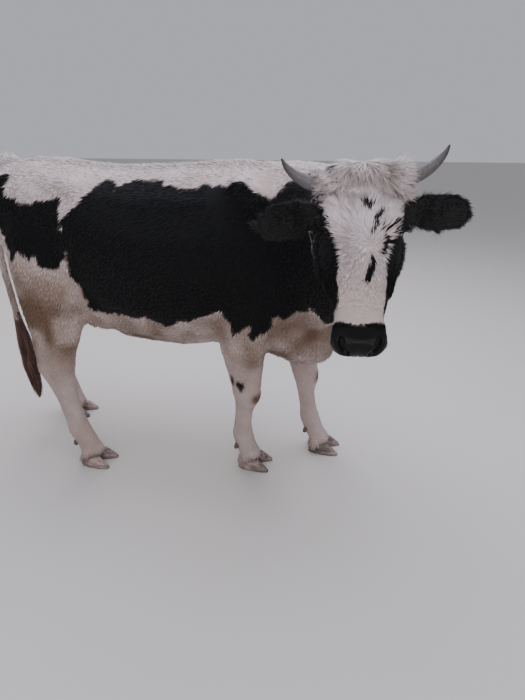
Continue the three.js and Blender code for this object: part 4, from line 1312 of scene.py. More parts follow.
def tufts(name, density, length, width, lift, bend=0.0, stray=0.12, line=SPINE, rings=2,
          way_of=None, uv_of=None, tint_of=None, shown=0.45):
    """A piece of coat: tufts rooted on the skin where density says, along the lie of the coat.

    length, width, lift and bend are numbers or functions of (points, normals, parts);
    lift and bend are in radians, and a positive bend curls the end away from the skin. shown is
    how far along a tuft the marking is taken, since long tufts hide one another's roots.
    """
    at, normal, part = roots(density)

    def pick(value):
        return value(at, normal, part) if callable(value) else np.full(len(at), value)

    way = (way_of or hair_way)(at, normal, part)
    across = np.cross(way, normal)
    turn = stray * random.standard_normal(len(at))[:, None]
    way = unit(way * np.cos(turn) + across * np.sin(turn))
    across = np.cross(way, normal)
    long = pick(length) * random.uniform(0.75, 1.2, len(at))
    wide = pick(width) * random.uniform(0.75, 1.25, len(at)) / 2
    rise = pick(lift) * random.uniform(0.7, 1.4, len(at))
    curl = pick(bend) + 0.04 * random.standard_normal(len(at))
    sway = 0.10 * random.standard_normal(len(at))
    s = np.linspace(0, 1, rings + 1)[None, :, None]
    run = long[:, None, None]
    centres = at[:, None] - normal[:, None] * ROOT_DEPTH
    centres = centres + way[:, None] * np.cos(rise)[:, None, None] * run * s
    centres = centres + normal[:, None] * run * (np.sin(rise)[:, None, None] * s
                                                 + curl[:, None, None] * s * s)
    centres = centres + across[:, None] * sway[:, None, None] * run * s * s
    seen_part = at + way * (shown * long)[:, None]
    mark = black_share(seen_part, part, 0.0015)
    mark = (mark + random.uniform(-0.25, 0.25, len(at)) > 0.5) * (EAR_MARK_WITH_PAINTED_SHEEN if "ear" in name else 1.0)
    tint = random.random(len(at))
    if tint_of:
        tint = np.clip(0.3 * tint + 0.7 * tint_of(at, normal, part), 0, 1)
    values = {"mark": mark, "tint": tint, "soil_and_shade": soil_and_shade_share(at)}
    uvs = spans(uv_of(at) if uv_of else unroll(in_body(at), line))
    return join_strands(name, centres, across, normal, wide, wide * 0.5, values, uvs)


tri_head = in_head(tri_middle)
haired = bare_share(tri_head) * among(tri_parts, "head", "muzzle") < 0.5
tri_across = side_of_spine(in_body(tri_middle))[0]
print("triangles with hair:", int(haired.sum()))

# %% [markdown]
# ## The coat, region by region
# Hair length sets the look of each region: about 3 cm and flat on the trunk, shorter and finer
# down the shanks, very short on the bridge of the nose, shaggy on the crown. The regions are
# separate pieces so that each stays light.

# %% Trunk and neck
TUFTS = {"trunk": 17000.0, "neck": 20000.0, "udder": 5000.0, "upper_leg": 13500.0,
         "lower_leg": 32000.0, "tail": 26000.0, "face": 236000.0, "cheeks": 95000.0,
         "forelock": 240000.0, "ear": 230000.0}  # for each square metre of skin
MID_TRUNK = 0.65  # along the body, between the hind and the front legs


def ridge_and_tail_head(at, normal):
    """1 along the top of the back, and 1 where the tail begins."""
    body = in_body(at)
    ridge = fade(0.10, 0.02, np.abs(side_of_spine(body)[0])) * (normal[:, 2] > 0.5)
    return ridge, blob(body, [0.02, -0.02, 1.30], [0.10, 0.08, 0.10])


def body_length(at, normal, part):
    ridge, tail_head = ridge_and_tail_head(at, normal)
    under = fade(-0.5, -0.9, normal[:, 2])
    return 0.030 + 0.012 * ridge + 0.010 * under + 0.018 * tail_head + 0.004 * wobble(at, 0.05, 12)


def body_lift(at, normal, part):
    ridge, tail_head = ridge_and_tail_head(at, normal)
    return 0.06 + 0.15 * ridge + 0.60 * tail_head


coat_pieces = []
trunk = among(tri_parts, "trunk")
for side_name, flags in (("right", tri_across < 0), ("left", tri_across >= 0)):
    coat_pieces.append(tufts(f"coat_trunk_{side_name}", TUFTS["trunk"] * (trunk & flags), body_length,
                             0.0048, body_lift, -0.01, 0.16))
coat_pieces.append(tufts("coat_neck", TUFTS["neck"] * among(tri_parts, "neck"), 0.028, 0.0046,
                         0.07, -0.01, 0.18))
coat_pieces.append(tufts("coat_udder", TUFTS["udder"] * among(tri_parts, "udder"), 0.018, 0.003,
                         0.12, -0.05))

# %% [markdown]
# ## Legs and tail
# Hair on the shanks is short and lies flat, and it hangs a little longer over the coronets, at
# the back of the hocks and down the tail. One rule for length by height covers all four legs.
# Their map lays them out as four strips side by side, so that no two tufts share a place on it.

# %% Legs and tail
def leg_map(at):
    """Four strips side by side, one for each leg, each with its angle round and its height."""
    body = in_body(at)
    number = (body[:, 0] > MID_TRUNK) * 2 + (body[:, 1] > 0)
    turn = np.zeros(len(at))
    for k in range(4):
        mine = number == k
        if mine.any():
            levels = np.round(body[mine, 2] / 0.06).astype(int)
            for level in np.unique(levels):
                here = np.where(mine)[0][levels == level]
                centre = body[here, :2].mean(axis=0)
                offset = body[here, :2] - centre
                turn[here] = np.arctan2(offset[:, 1], offset[:, 0]) / (2 * math.pi) + 0.5
    return np.stack([(number + 0.06 + 0.88 * turn) / 4, body[:, 2]], axis=1)


def leg_length(at, normal, part):
    height = at[:, 2]
    long = 0.011 + 0.016 * fade(0.30, 0.75, height) + 0.012 * fade(0.10, 0.055, height)
    return long + 0.010 * blob(in_body(at), [0.13, -0.205, 0.47], [0.07, 0.08, 0.10])


def leg_lift(at, normal, part):
    return 0.07 + 0.13 * fade(0.105, 0.075, at[:, 2])


def leg_width(at, normal, part):
    return 0.0026 + 0.0026 * fade(0.25, 0.75, at[:, 2])


def leg_tone_and_fold_shade(at, normal, part):
    """Random tone, with painted shade and light in bands over the creases of loose skin behind the stifle.
    """
    body = in_body(at)
    body[:, 1] = np.abs(body[:, 1] - 0.04)
    creased = blob(body, [0.235, 0.27, 0.585], [0.085, 0.12, 0.075])
    slant = 0.79 * body[:, 2] - 0.62 * body[:, 0]
    # painted shade and light: dark and light bands across the creases
    painted_fold_shade = np.sin(2 * math.pi * slant / 0.023 + 2 * wobble(at, 0.05, 31))
    return np.clip(0.55 + 0.3 * wobble(at, 0.03, 32) + 0.9 * creased * painted_fold_shade, 0, 1)


tri_body = in_body(tri_middle)
upper = np.isin(tri_parts, [k for k, n in enumerate(FLESH) if n.endswith("upper")])
lower = np.isin(tri_parts, [k for k, n in enumerate(FLESH) if n.endswith("lower")])
leg_density = TUFTS["upper_leg"] * upper + TUFTS["lower_leg"] * lower
for end, flags in (("hind", tri_body[:, 0] < MID_TRUNK), ("front", tri_body[:, 0] >= MID_TRUNK)):
    coat_pieces.append(tufts(f"coat_legs_{end}", leg_density * flags, leg_length, leg_width,
                             leg_lift, -0.01, 0.14, uv_of=leg_map, tint_of=leg_tone_and_fold_shade))
coat_pieces.append(tufts("coat_tail", TUFTS["tail"] * among(tri_parts, "tail"), 0.026, 0.0042, 0.13, -0.04,
                         line=TAIL))

# %% [markdown]
# ## Face and cheeks
# The forehead's hair is long enough to gather in locks that fan out from the whorl, and it gets
# short and dense towards the muzzle. Hair that is drawn one by one at random looks like felt,
# so each hair leans to the middle of its own lock, and each lock has its own lift and tint, with
# painted shade towards its edges. The lowest band of the blaze is a painted highlight.

# %% Face and cheeks
FRONT_FACING = 0.35  # skin that faces forward more than this counts as the front of the face
HEAD_LINE = np.array([[-0.09, 0, -0.08], [0.15, 0, -0.10], [0.50, 0, -0.11]])
tri_front = (tri_normal @ TURN)[:, 2]
on_head_tris = among(tri_parts, "head", "muzzle") & haired
in_crown = (tri_head[:, 0] < PARTING + 0.002) & (tri_head[:, 2] > -0.075)
in_crown &= np.abs(tri_head[:, 1]) < 0.112


def clear_of_eyes(centres):
    """1 outside the lids' rims, 0 on the eyeball side of them."""
    head = in_head(centres)
    clear = np.ones(len(centres))
    for side in (-1, 1):
        offset = head - np.array([EYE_ALONG, side * EYE_SIDE, EYE_DEEP])
        close = norm(offset, axis=1) < 0.04
        gap, _ = outside_opening(offset, side)
        clear = np.where(close & (gap < 0.0022), 0.0, clear)
    return clear


def nostril_clear(centres):
    head = np.abs(in_head(centres)) * [1, 1, -1]
    return (follow(head, NOSTRIL)[0] > 0.022).astype(float)


def face_length(at, normal, part):
    head = in_head(at)
    x = head[:, 0]
    front = (normal @ TURN)[:, 2]
    length = np.interp(x, [0.05, 0.09, 0.15, 0.19, 0.23, 0.27, 0.31, 0.36, 0.40, 0.44],
                       [34, 42, 38, 30, 26, 22, 17, 14, 13, 5]) * MM
    cheek = np.interp(x, [0.0, 0.15, 0.30, 0.42], [20, 15, 13, 7]) * MM
    length = np.where(front > FRONT_FACING, length, cheek)
    return length * (1 - 0.55 * fade(0.055, 0.028, from_eye(head)))


def face_width(at, normal, part):
    return np.interp(in_head(at)[:, 0], [0.05, 0.16, 0.26, 0.42], [2.9, 2.6, 2.3, 1.9]) * MM


def whorl_locks(at):
    """The locks that fan out from the whorl, and how far the hair is long enough to form them."""
    head = in_head(at)
    offset = head[:, :2] - WHORL
    turn, gone = np.arctan2(offset[:, 1], offset[:, 0]), np.hypot(offset[:, 0], offset[:, 1])
    turn = turn + 0.12 * wobble(at, 0.03, 33)
    place, chance = locks(turn * 0.055, gone, 0.0055, 0.036, 3)
    return place, chance, fade(0.36, 0.22, head[:, 0])


def clumped_way(at, normal, part):
    """Long hair gathers in locks: each hair leans to the middle of its own."""
    way = hair_way(at, normal, part)
    place, chance, long = whorl_locks(at)
    lean = long * (0.34 * place + 0.30 * (chance - 0.5) + 0.22 * wobble(at, 0.02, 20))
    return unit(way + lean[:, None] * np.cross(way, normal))


def temple(at):
    """1 in the hollow between eye, ear and horn, where hair has to stand up to clear the skin."""
    return blob(np.abs(in_head(at)), [0.100, 0.093, 0.046], [0.036, 0.036, 0.036])


def face_lift(at, normal, part):
    place, chance, long = whorl_locks(at)
    long = long * ((normal @ TURN)[:, 2] > 0.3)
    return 0.11 + 0.55 * temple(at) + long * (0.02 + 0.17 * chance * (1 - 3 * place ** 2))


def cheek_lift(at, normal, part):
    return 0.14 + 0.55 * temple(at)


def face_tone_shade_and_highlight(at, normal, part):
    place, chance, long = whorl_locks(at)
    fine = 0.55 + 0.55 * wobble(at, 0.006, 34)
    # painted shade: each lock is darker towards its edges, as if shaded by its neighbours
    lock = 0.30 + 0.80 * chance - 1.6 * place ** 2
    # painted highlight: the lowest band of the blaze, just above the muzzle, is made lighter
    fine = fine + 0.35 * fade(0.37, 0.41, in_head(at)[:, 0])
    return np.clip(fine * (1 - long) + lock * long, 0, 1)


def head_map(at):
    return unroll(in_head(at), HEAD_LINE)


keep = clear_of_eyes(tri_middle) * nostril_clear(tri_middle) * on_head_tris * ~in_crown
coat_pieces.append(tufts("coat_face", TUFTS["face"] * keep * (tri_front > FRONT_FACING), face_length,
                         face_width, face_lift, -0.07, 0.10, way_of=clumped_way, uv_of=head_map,
                         tint_of=face_tone_shade_and_highlight, shown=0.75))
coat_pieces.append(tufts("coat_cheeks", TUFTS["cheeks"] * keep * (tri_front <= FRONT_FACING),
                         face_length, face_width, cheek_lift, -0.03, 0.14, uv_of=head_map))

# %% [markdown]
# ## Forelock
# The forelock is the longest hair of the head. It falls from the crown between the horns, parts
# in the middle and sweeps out over their roots. A curve system could carry it, but tufts like
# the rest of the coat, with one more ring so that they bend, agree with the hair round them.


# %% Forelock
def horn_tuft(head):
    """The hair stands up in a tuft beside the root of the left horn."""
    return blob(head, [-0.004, 0.060, -0.015], [0.050, 0.034, 0.05])


def forelock_locks(at):
    """The locks of the forelock, which part at the middle and bend out over the horns."""
    head = in_head(at)
    across = 0.1 * np.sin(np.clip(head[:, 1] / 0.1, -1.5, 1.5)) * np.exp(-head[:, 0] / 0.1)
    return locks(across + 0.004 * wobble(at, 0.03, 35), head[:, 0], 0.0075, 0.05, 5)


def beside_horn(head):
    """1 at the sides of the forelock, and 1 where it hangs under a horn."""
    side = fade(0.055, 0.10, np.abs(head[:, 1]))
    return side, side * fade(0.030, 0.045, head[:, 0])


def forelock_length(at, normal, part):
    head = in_head(at)
    crest = fade(0.06, -0.005, head[:, 0])
    side, under_horn = beside_horn(head)
    length = 0.040 + 0.020 * crest - 0.014 * side - 0.012 * fade(-0.02, -0.05, head[:, 0])
    length = length + 0.020 * under_horn + 0.022 * horn_tuft(head)
    return length * (0.80 + 0.40 * forelock_locks(at)[1])


def forelock_lift(at, normal, part):
    head = in_head(at)
    _, under_horn = beside_horn(head)
    place, chance = forelock_locks(at)
    lock = 0.16 * (chance - 0.3) * (1 - 3 * place ** 2)
    return 0.13 + lock + 0.10 * under_horn + 0.75 * horn_tuft(head)


def forelock_way(at, normal, part):
    way = hair_way(at, normal, part)
    place, chance = forelock_locks(at)
    lean = 0.30 * place + 0.7 * (chance - 0.5) + 0.35 * wobble(at, 0.022, 16)
    return unit(way + lean[:, None] * np.cross(way, normal))


def forelock_tone_and_gap_shade(at, normal, part):
    place, chance = forelock_locks(at)
    # painted shade: each lock is darker towards its edges, in the gaps between locks
    return np.clip(0.35 + 0.75 * chance - 1.4 * place ** 2, 0, 1)


crown = among(tri_parts, "head", "neck") & in_crown
coat_pieces.append(tufts("coat_forelock", TUFTS["forelock"] * crown, forelock_length, 0.0024,
                         forelock_lift, -0.07, 0.10, rings=3, way_of=forelock_way, uv_of=head_map,
                         tint_of=forelock_tone_and_gap_shade, shown=0.75))

# %% [markdown]
# ## Ears
# A cow's ear is a leaf of gristle with a fringe of long hair round its rim. The hair follows the
# ear from root to tip and droops a little. Where the skin faces neither forward nor back it is
# the rim, so its hair is made longer and lifted more there.

# %% Ears
EAR_OPENS = unit(np.array([0.42, 0.1, 0.9]))


def ear_rim(at, normal, part):
    """1 on the rim of an ear, where the skin faces neither forward nor back."""
    side = np.where(part == FLESH.index("ear_left"), 1.0, -1.0)
    opens = (EAR_OPENS[None] * np.stack([side * 0 + 1, side, side * 0 + 1], axis=1)) @ TURN.T
    return fade(0.75, 0.35, np.abs(np.einsum("ij,ij->i", normal, opens)))


def ear_length(at, normal, part):
    return 0.016 + 0.013 * ear_rim(at, normal, part)


def ear_way(at, normal, part):
    way = hair_way(at, normal, part)
    drop = np.array([0, 0, -1.0]) - normal * (normal @ np.array([0, 0, -1.0]))[:, None]
    return unit(way + 0.25 * drop + 0.25 * wobble(at, 0.02, 18)[:, None] * np.cross(way, normal))


def ear_lift(at, normal, part):
    return 0.13 + 0.42 * ear_rim(at, normal, part)


for side_name in ("right", "left"):
    axis = from_head(np.array(EARS[f"ear_{side_name}"]))
    coat_pieces.append(tufts(f"coat_ear_{side_name}", TUFTS["ear"] * among(tri_parts, f"ear_{side_name}"),
                             ear_length, 0.0017, ear_lift, -0.04, 0.2, way_of=ear_way,
                             uv_of=lambda at, axis=axis: unroll(at, axis)))

# %% Finish the coat
for piece in coat_pieces:
    piece.data.materials.append(coat_hair)
print("coat pieces:", len(coat_pieces))

# %% [markdown]
# ## Tail switch
# The tail ends in a switch of long, coarse hair, red-brown on this cow. Its locks are rooted round
# the last part of the tail and fall with gravity, gathered by the ones around them, so each lock
# follows the tail's own line and drifts outwards before it closes in at the tip.

# %% Long locks
SWITCH_TOP, SWITCH_END = 0.635, 0.185  # heights above the ground
SWITCH_REACH = 0.036


def tail_place(heights):
    """The tail's centre line at the given heights, in the body frame."""
    low = TAIL[::-1]
    return np.stack([np.interp(heights, low[:, 2], low[:, 0]), heights * 0, heights], axis=-1)


def switch_locks(count, rings):
    """Middle lines of the locks, the way each faces, and its place on the map."""
    start = SWITCH_TOP - 0.26 * random.random(count) ** 1.3
    long = random.uniform(0.16, 0.36, count) * fade(0.30, 0.60, start) + 0.10
    end = np.maximum(start - long, SWITCH_END + 0.05 * random.random(count) ** 2)
    turn = random.uniform(0, 2 * math.pi, count)
    share = np.sqrt(random.random(count))
    s = np.linspace(0, 1, rings + 1)
    height = start[:, None] + (end - start)[:, None] * s[None]
    swell = np.interp(height, [0.18, 0.24, 0.36, 0.50, 0.58, 0.64],
                      [0.10, 0.45, 0.95, 0.85, 0.55, 0.42])
    reach = SWITCH_REACH * swell * share[:, None] * (1 - 0.35 * s[None] ** 3)
    twist = turn[:, None] + 0.5 * random.standard_normal(count)[:, None] * s[None]
    centres = tail_place(height)
    centres[..., 0] += reach * np.cos(twist)
    centres[..., 1] += reach * np.sin(twist) * 0.85
    loose = (random.random(count) < 0.14)[:, None] * 0.012 * s[None] ** 1.5
    wave = 0.0055 * np.sin(36 * height + 3 * turn[:, None]) * s[None]
    centres[..., 0] += wave * 0.6 + loose * np.cos(twist)
    centres[..., 1] += wave + loose * np.sin(twist)
    over = np.stack([np.cos(turn), np.sin(turn), turn * 0], axis=1)
    return centres + BODY, over, np.stack([turn / 6.3, start], axis=1)


def tail_hair_material():
    """Coarse red-brown hair, some locks bleached lighter by the sun, at random."""
    material, tree, shader = new_material("tail_switch_hair")
    tint = add(tree, "Attribute", {"attribute_name": "tint"}).outputs["Fac"]
    colour = ramp(tree, tint, [(0.0, "#2a1a17"), (0.55, "#4e312a"), (1.0, "#8a604f")])
    feed(shader, Base_Color=colour, Roughness=0.55, Specular_IOR_Level=0.4, Sheen_Weight=0.1)
    return material


SWITCH_COUNT = 2400
centres, over, uvs = switch_locks(SWITCH_COUNT, 6)
way = unit(centres[:, 1] - centres[:, 0])
across = unit(np.cross(way, over))  # this way round, the faces of a strand look outwards
switch = join_strands("tail_switch_hair", centres, across, over,
                      random.uniform(0.0012, 0.0024, SWITCH_COUNT),
                      random.uniform(0.0010, 0.0018, SWITCH_COUNT),
                      {"tint": random.random(SWITCH_COUNT) ** 1.4}, spans(uvs))
switch.data.materials.append(tail_hair_material())
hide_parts("tail_switch")

# %% [markdown]
# ## Eyes
# A cow's eye is a near-perfect ball, dark brown with a wide pupil that lies level, under a clear
# cornea that stands out a little. Iris and cornea could be two meshes, but the lids hide all but
# a slit, so one ball with a swell for the cornea is enough, and its face carries the colours.

# %% Eyeballs
def write_piece(name, bm, material, replaced=()):
    """Makes a finished piece of a bmesh: material, body, slot and the nodes it stands for."""
    mesh = bpy.data.meshes.new(name)
    bm.to_mesh(mesh)
    bm.free()
    mesh.shade_smooth()
    mesh.materials.append(material)
    piece = in_scene(name, mesh)
    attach(piece, "root")
    if replaced:
        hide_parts(*replaced)
    return piece


def eye_material():
    """Wet cornea over a dark brown iris; the attributes carry the place over the eye's face."""
    material, tree, shader = new_material("wet_dark_eye")
    away = add(tree, "Attribute", {"attribute_name": "off_centre"}).outputs["Fac"]
    pupil = add(tree, "Attribute", {"attribute_name": "pupil"}).outputs["Fac"]
    iris = ramp(tree, away, [(0.0, "#1c100b"), (0.50, "#26160f"), (0.60, "#0a0706"),
                             (0.72, "#120c0b"), (0.95, "#211917")])
    whole = add(tree, "MixRGB", Fac=pupil, Color1=iris, Color2=linear("#05040a"))
    feed(shader, Base_Color=whole, Roughness=0.12, Specular_IOR_Level=0.18, Coat_Weight=0.12,
         Coat_Roughness=0.03)
    return material


wet_eye = eye_material()
for side, name in ((-1, "eye_right"), (1, "eye_left")):
    gaze, inner, brow = eye_axes(side)
    bm = bmesh.new()
    bmesh.ops.create_uvsphere(bm, u_segments=48, v_segments=32, radius=1.0)
    ball = np.array([v.co for v in bm.verts])
    out = np.cross(inner, brow) * (1 if np.cross(inner, brow) @ gaze > 0 else -1)
    axes = np.stack([inner, np.cross(out, inner), out], axis=1)
    facing = ball[:, 2]
    reach = EYE_RADIUS - 0.0004 + 0.0011 * fade(0.72, 0.95, facing)
    local = (ball * reach[:, None]) @ axes.T + [EYE_ALONG, side * EYE_SIDE, EYE_DEEP]
    write_points(bm, from_head(local))
    piece = write_piece(f"{name}ball", bm, wet_eye, (name,))
    off_centre = np.where(facing > 0, np.sqrt(np.maximum(1 - facing ** 2, 0)), 1.0)
    write_values(piece.data, "off_centre", off_centre)
    level = np.hypot(ball[:, 0] / 0.46, ball[:, 1] / 0.27)
    write_values(piece.data, "pupil", fade(1.08, 0.92, level) * (facing > 0))
print("eyes made")

# %% [markdown]
# ## Lashes
# Long dark lashes stand on the upper lid and a few short ones on the lower. They are hair, so
# they are the same closed strands as the coat, rooted in rows along the edges of the lids and
# curled upwards.

# %% Lashes
LASH = 0.00045  # half the width of one lash, as thick as two or three real ones


def lash_piece(count=110):
    """The lashes of both eyes; count is how many each eye has."""
    centres, overs, ways = [], [], []
    for side in (-1, 1):
        gaze, inner, brow = eye_axes(side)
        middle_of_eye = np.array([EYE_ALONG, side * EYE_SIDE, EYE_DEEP])
        for upper_lid, amount in ((True, 0.72), (False, 0.28)):
            some = int(count * amount)
            t = random.uniform(-0.86, 0.86, some)
            arch = (OPENING["upper"] if upper_lid else -OPENING["lower"]) * (1 - t ** 2)
            arch = arch + (0.0018 if upper_lid else -0.0018)
            flat = np.outer(t * OPENING["half_length"], inner) + np.outer(arch, brow)
            deep = np.sqrt(np.maximum((EYE_RADIUS + 0.0012) ** 2 - (flat ** 2).sum(axis=1), 1e-6))
            start = middle_of_eye + flat + deep[:, None] * gaze
            shortest, longest = (0.010, 0.017) if upper_lid else (0.004, 0.007)
            long = random.uniform(shortest, longest, some)
            lift = 0.35 if upper_lid else -0.7
            stray = 0.12 * random.standard_normal((some, 3))
            way = unit(gaze + lift * brow + np.outer(0.5 * t, inner) + stray)
            s = np.linspace(0, 1, 4)[None, :, None]
            curl = np.array(brow) * (0.35 if upper_lid else -0.1)
            centres.append(start[:, None] + long[:, None, None] * (way[:, None] * s + curl * s * s))
            overs.append(np.broadcast_to(brow, way.shape))
            ways.append(way)
    centres, overs, ways = np.concatenate(centres), np.concatenate(overs), np.concatenate(ways)
    across = unit(np.cross(ways, overs))
    total = len(centres)
    uvs = spans(np.stack([centres[:, 0, 0], centres[:, 0, 1]], axis=1))
    turned = (across @ TURN.T, unit(np.cross(across, ways)) @ TURN.T)
    values = {"tint": random.random(total), "mark": np.ones(total)}
    return join_strands("eyelashes", from_head(centres), turned[0], turned[1], np.full(total, LASH),
                        np.full(total, LASH), values, uvs)


lashes = lash_piece()
lashes.data.materials.append(coat_hair)

# %% [markdown]
# ## Horns
# A horn is a sheath of keratin: it grows rings at the root in hard months, wears smooth towards
# the tip and darkens there. Lathing can't follow its twist, so circles are laid along a bent
# line, each bridged to the one before, and the rings are small swells in their radius.

# %% Horns
HORN_LINES = {
    "horn_left": [(0.012, 0.070, -0.035), (0.012, 0.084, -0.034), (0.008, 0.114, -0.032),
                  (0.0, 0.148, -0.022), (-0.016, 0.180, -0.004), (-0.037, 0.202, 0.012),
                  (-0.057, 0.213, 0.022)],
    "horn_right": [(0.026, -0.070, -0.034), (0.026, -0.084, -0.034), (0.028, -0.114, -0.032),
                   (0.025, -0.148, -0.024), (0.013, -0.181, -0.010), (-0.005, -0.206, 0.002),
                   (-0.024, -0.219, 0.010)],
}
HORN_THICK = [(0.0, 1.03), (0.12, 1.04), (0.3, 0.98), (0.55, 0.80), (0.78, 0.52), (0.93, 0.26),
              (1.0, 0.08)]  # share of the radius from root to tip
HORN_RADIUS = 0.0212
HORN_STEPS, HORN_AROUND = 90, 32


def smooth_line(corners, count):
    """A rounded line through corner points (Catmull-Rom), with evenly spaced points."""
    p = np.array(corners, dtype=float)
    p = np.concatenate([2 * p[:1] - p[1:2], p, 2 * p[-1:] - p[-2:-1]])
    out = []
    for i in range(1, len(p) - 2):
        t = np.linspace(0, 1, 40, endpoint=False)[:, None]
        out.append(0.5 * (2 * p[i] + (p[i + 1] - p[i - 1]) * t
                          + (2 * p[i - 1] - 5 * p[i] + 4 * p[i + 1] - p[i + 2]) * t ** 2
                          + (3 * p[i] - p[i - 1] - 3 * p[i + 1] + p[i + 2]) * t ** 3))
    line = np.concatenate(out + [p[-2:-1]])
    gone = np.concatenate([[0], np.cumsum(norm(np.diff(line, axis=0), axis=1))])
    even = np.linspace(0, gone[-1], count)
    return np.stack([np.interp(even, gone, line[:, k]) for k in range(3)], axis=1)


def ring_round(bm, place, first, second, radius, around, closed=False):
    """A ring in the plane of two directions, filled in where closed; gives its outer edges."""
    plane = np.eye(4)
    plane[:3] = np.column_stack([first, second, np.cross(first, second), place])
    made = bmesh.ops.create_circle(bm, segments=around, radius=radius, cap_ends=closed,
                                   cap_tris=closed, matrix=Matrix(plane))
    edges = dict.fromkeys(edge for vert in made["verts"] for edge in vert.link_edges)
    return [edge for edge in edges if len(edge.link_faces) < 2]


def tube(line, radii, around):
    """Rings round a line, each bridged to the one before and the ends closed, as a bmesh."""
    ways = unit(np.gradient(line, axis=0))
    first = unit(np.cross(ways[0], [0.2, 0.1, 1.0]))
    bm, before = bmesh.new(), []
    for k, (place, way, radius) in enumerate(zip(line, ways, radii)):
        first = unit(first - way * (first @ way))
        at_end = k in (0, len(line) - 1)
        rim = ring_round(bm, place, first, np.cross(way, first), radius, around, at_end)
        if before:
            bmesh.ops.bridge_loops(bm, edges=before + rim)
        before = rim
    bmesh.ops.recalc_face_normals(bm, faces=bm.faces)
    return bm


def horn_material():
    """Grey keratin streaked with fibres, darker at the tip; the growth rings, fading towards the tip, are
    in the horn's shape.
    """
    material, tree, shader = new_material("horn_keratin")
    along = add(tree, "Attribute", {"attribute_name": "along"}).outputs["Fac"]
    place = add(tree, "TexCoord").outputs["Object"]
    fibres = add(tree, "TexNoise", Vector=place, Scale=1 / 0.006, Detail=5.0, Roughness=0.6).outputs["Fac"]
    base = ramp(tree, along, [(0.08, "#5f5b5d"), (0.35, "#736e71"), (0.70, "#636063"),
                              (0.90, "#4b484a"), (1.0, "#353234")])
    streak = ramp(tree, fibres, [(0.3, "#a8a8a8"), (0.7, "#ffffff")])
    colour = add(tree, "MixRGB", {"blend_type": "MULTIPLY"}, Fac=0.8, Color1=base, Color2=streak)
    bump = add(tree, "Bump", Height=fibres, Strength=0.35, Distance=0.0008)
    feed(shader, Base_Color=colour, Roughness=0.48, Normal=bump)
    return material


keratin = horn_material()
for name, corners in HORN_LINES.items():
    line = from_head(smooth_line(corners, HORN_STEPS))
    s = np.linspace(0, 1, HORN_STEPS)
    thick = HORN_RADIUS * np.interp(s, *zip(*HORN_THICK))
    thick = np.sqrt(np.convolve(np.pad(thick ** 2, 4, "edge"), np.ones(9) / 9, "valid"))
    rings = 0.0009 * np.sin(s * 78 + 2.5 * np.sin(s * 9)) * fade(0.62, 0.15, s)
    rings = rings + 0.0004 * np.sin(s * 190) * fade(0.8, 0.3, s)
    bm = tube(line, thick + rings, HORN_AROUND)
    piece = write_piece(f"{name}_sheath", bm, keratin, (name,))
    horn_points = np.array([v.co for v in piece.data.vertices])
    nearest = norm(horn_points[:, None] - line[None], axis=2).argmin(axis=1)
    write_values(piece.data, "along", s[nearest])
print("horns made")

# %% [markdown]
# ## Claws
# Each foot stands on two claws, with two dewclaws behind. A claw is a thick keratin wall with
# faint rings that run round it, worn by the ground. The solids give their true place and flat
# soles; here their corners are worn round by a fine voxel wrap and a few rounds of smoothing.

# %% Worn claws
def claw_material():
    """Pinkish grey keratin: fibres run down to the toe, rings run round, darker towards the ground."""
    material, tree, shader = new_material("hoof_keratin")
    place = add(tree, "TexCoord").outputs["Object"]
    height = add(tree, "SeparateXYZ", Vector=place).outputs["Z"]
    drawn = add(tree, "Mapping", Vector=place, Scale=(0.16, 1.0, 1.0)).outputs["Vector"]
    fibres = add(tree, "TexNoise", Vector=drawn, Scale=1 / 0.011, Detail=3.0).outputs["Fac"]
    per_claw = add(tree, "TexNoise", Vector=place, Scale=1 / 0.23, Detail=0.0).outputs["Fac"]
    pale = ramp(tree, fibres, [(0.32, "#6f5f5b"), (0.46, "#947f79"), (0.56, "#b19c97"),
                               (0.68, "#8d756f")])
    dark = ramp(tree, fibres, [(0.32, "#3f3938"), (0.50, "#665a57"), (0.60, "#8f807c"),
                               (0.70, "#5a4f4d")])
    pick = ramp(tree, per_claw, [(0.46, "#000000"), (0.56, "#ffffff")])
    colour = add(tree, "MixRGB", Fac=pick, Color1=pale, Color2=dark)
    # the lowest 2 cm of the claws are darker towards the ground
    near_ground = add(tree, "MapRange", Value=height, From_Min=0.0, From_Max=0.02, To_Min=0.55, To_Max=0.0)
    darker_low = add(tree, "MixRGB", Fac=near_ground, Color1=colour, Color2=linear("#4c423c"))
    above = add(tree, "MapRange", Value=height, From_Min=0.068, From_Max=0.082)
    whole = add(tree, "MixRGB", Fac=above, Color1=darker_low, Color2=linear("#5c4f48"))
    bands = add(tree, "TexWave", {"bands_direction": "Z"}, Vector=place, Scale=1 / 0.0065 / 6.28,
                Distortion=1.5, Detail=1.0)
    relief = add(tree, "Math", {"operation": "ADD"}, i0=bands.outputs["Fac"], i1=fibres)
    bump = add(tree, "Bump", Height=relief, Strength=0.45, Distance=0.0010)
    feed(shader, Base_Color=whole, Roughness=0.6, Normal=bump)
    return material


def worn_copy(names, voxel, rounds):
    """One mesh of the named nodes, wrapped in fine voxels and smoothed, standing on the floor."""
    bm = bmesh.new()
    add_grown(bm, names, CLAW_GROWTH)
    wrapped = voxel_wrap(bm, voxel)
    bm = bmesh.new()
    bm.from_mesh(wrapped)
    places, near = mesh_arrays(bm)
    places = relaxed(places, near, 0.5, 0.51, rounds)
    places[:, 2] = np.maximum(places[:, 2], 0)
    write_points(bm, places)
    bm.normal_update()
    return bm


CLAW_GROWTH = 0.0006  # makes up for what smoothing takes off
CLAWS = [n for n in nodes if n.startswith("hoof_")]
DEWCLAWS = [n for n in nodes if n.startswith("dewclaw_")]
hoof_keratin = claw_material()
for name, group, voxel in (("claws", CLAWS, 0.0036), ("dewclaws", DEWCLAWS, 0.0030)):
    piece = write_piece(f"worn_{name}", worn_copy(group, voxel, 8), hoof_keratin, group)
    print(piece.name, len(piece.data.polygons), "faces")

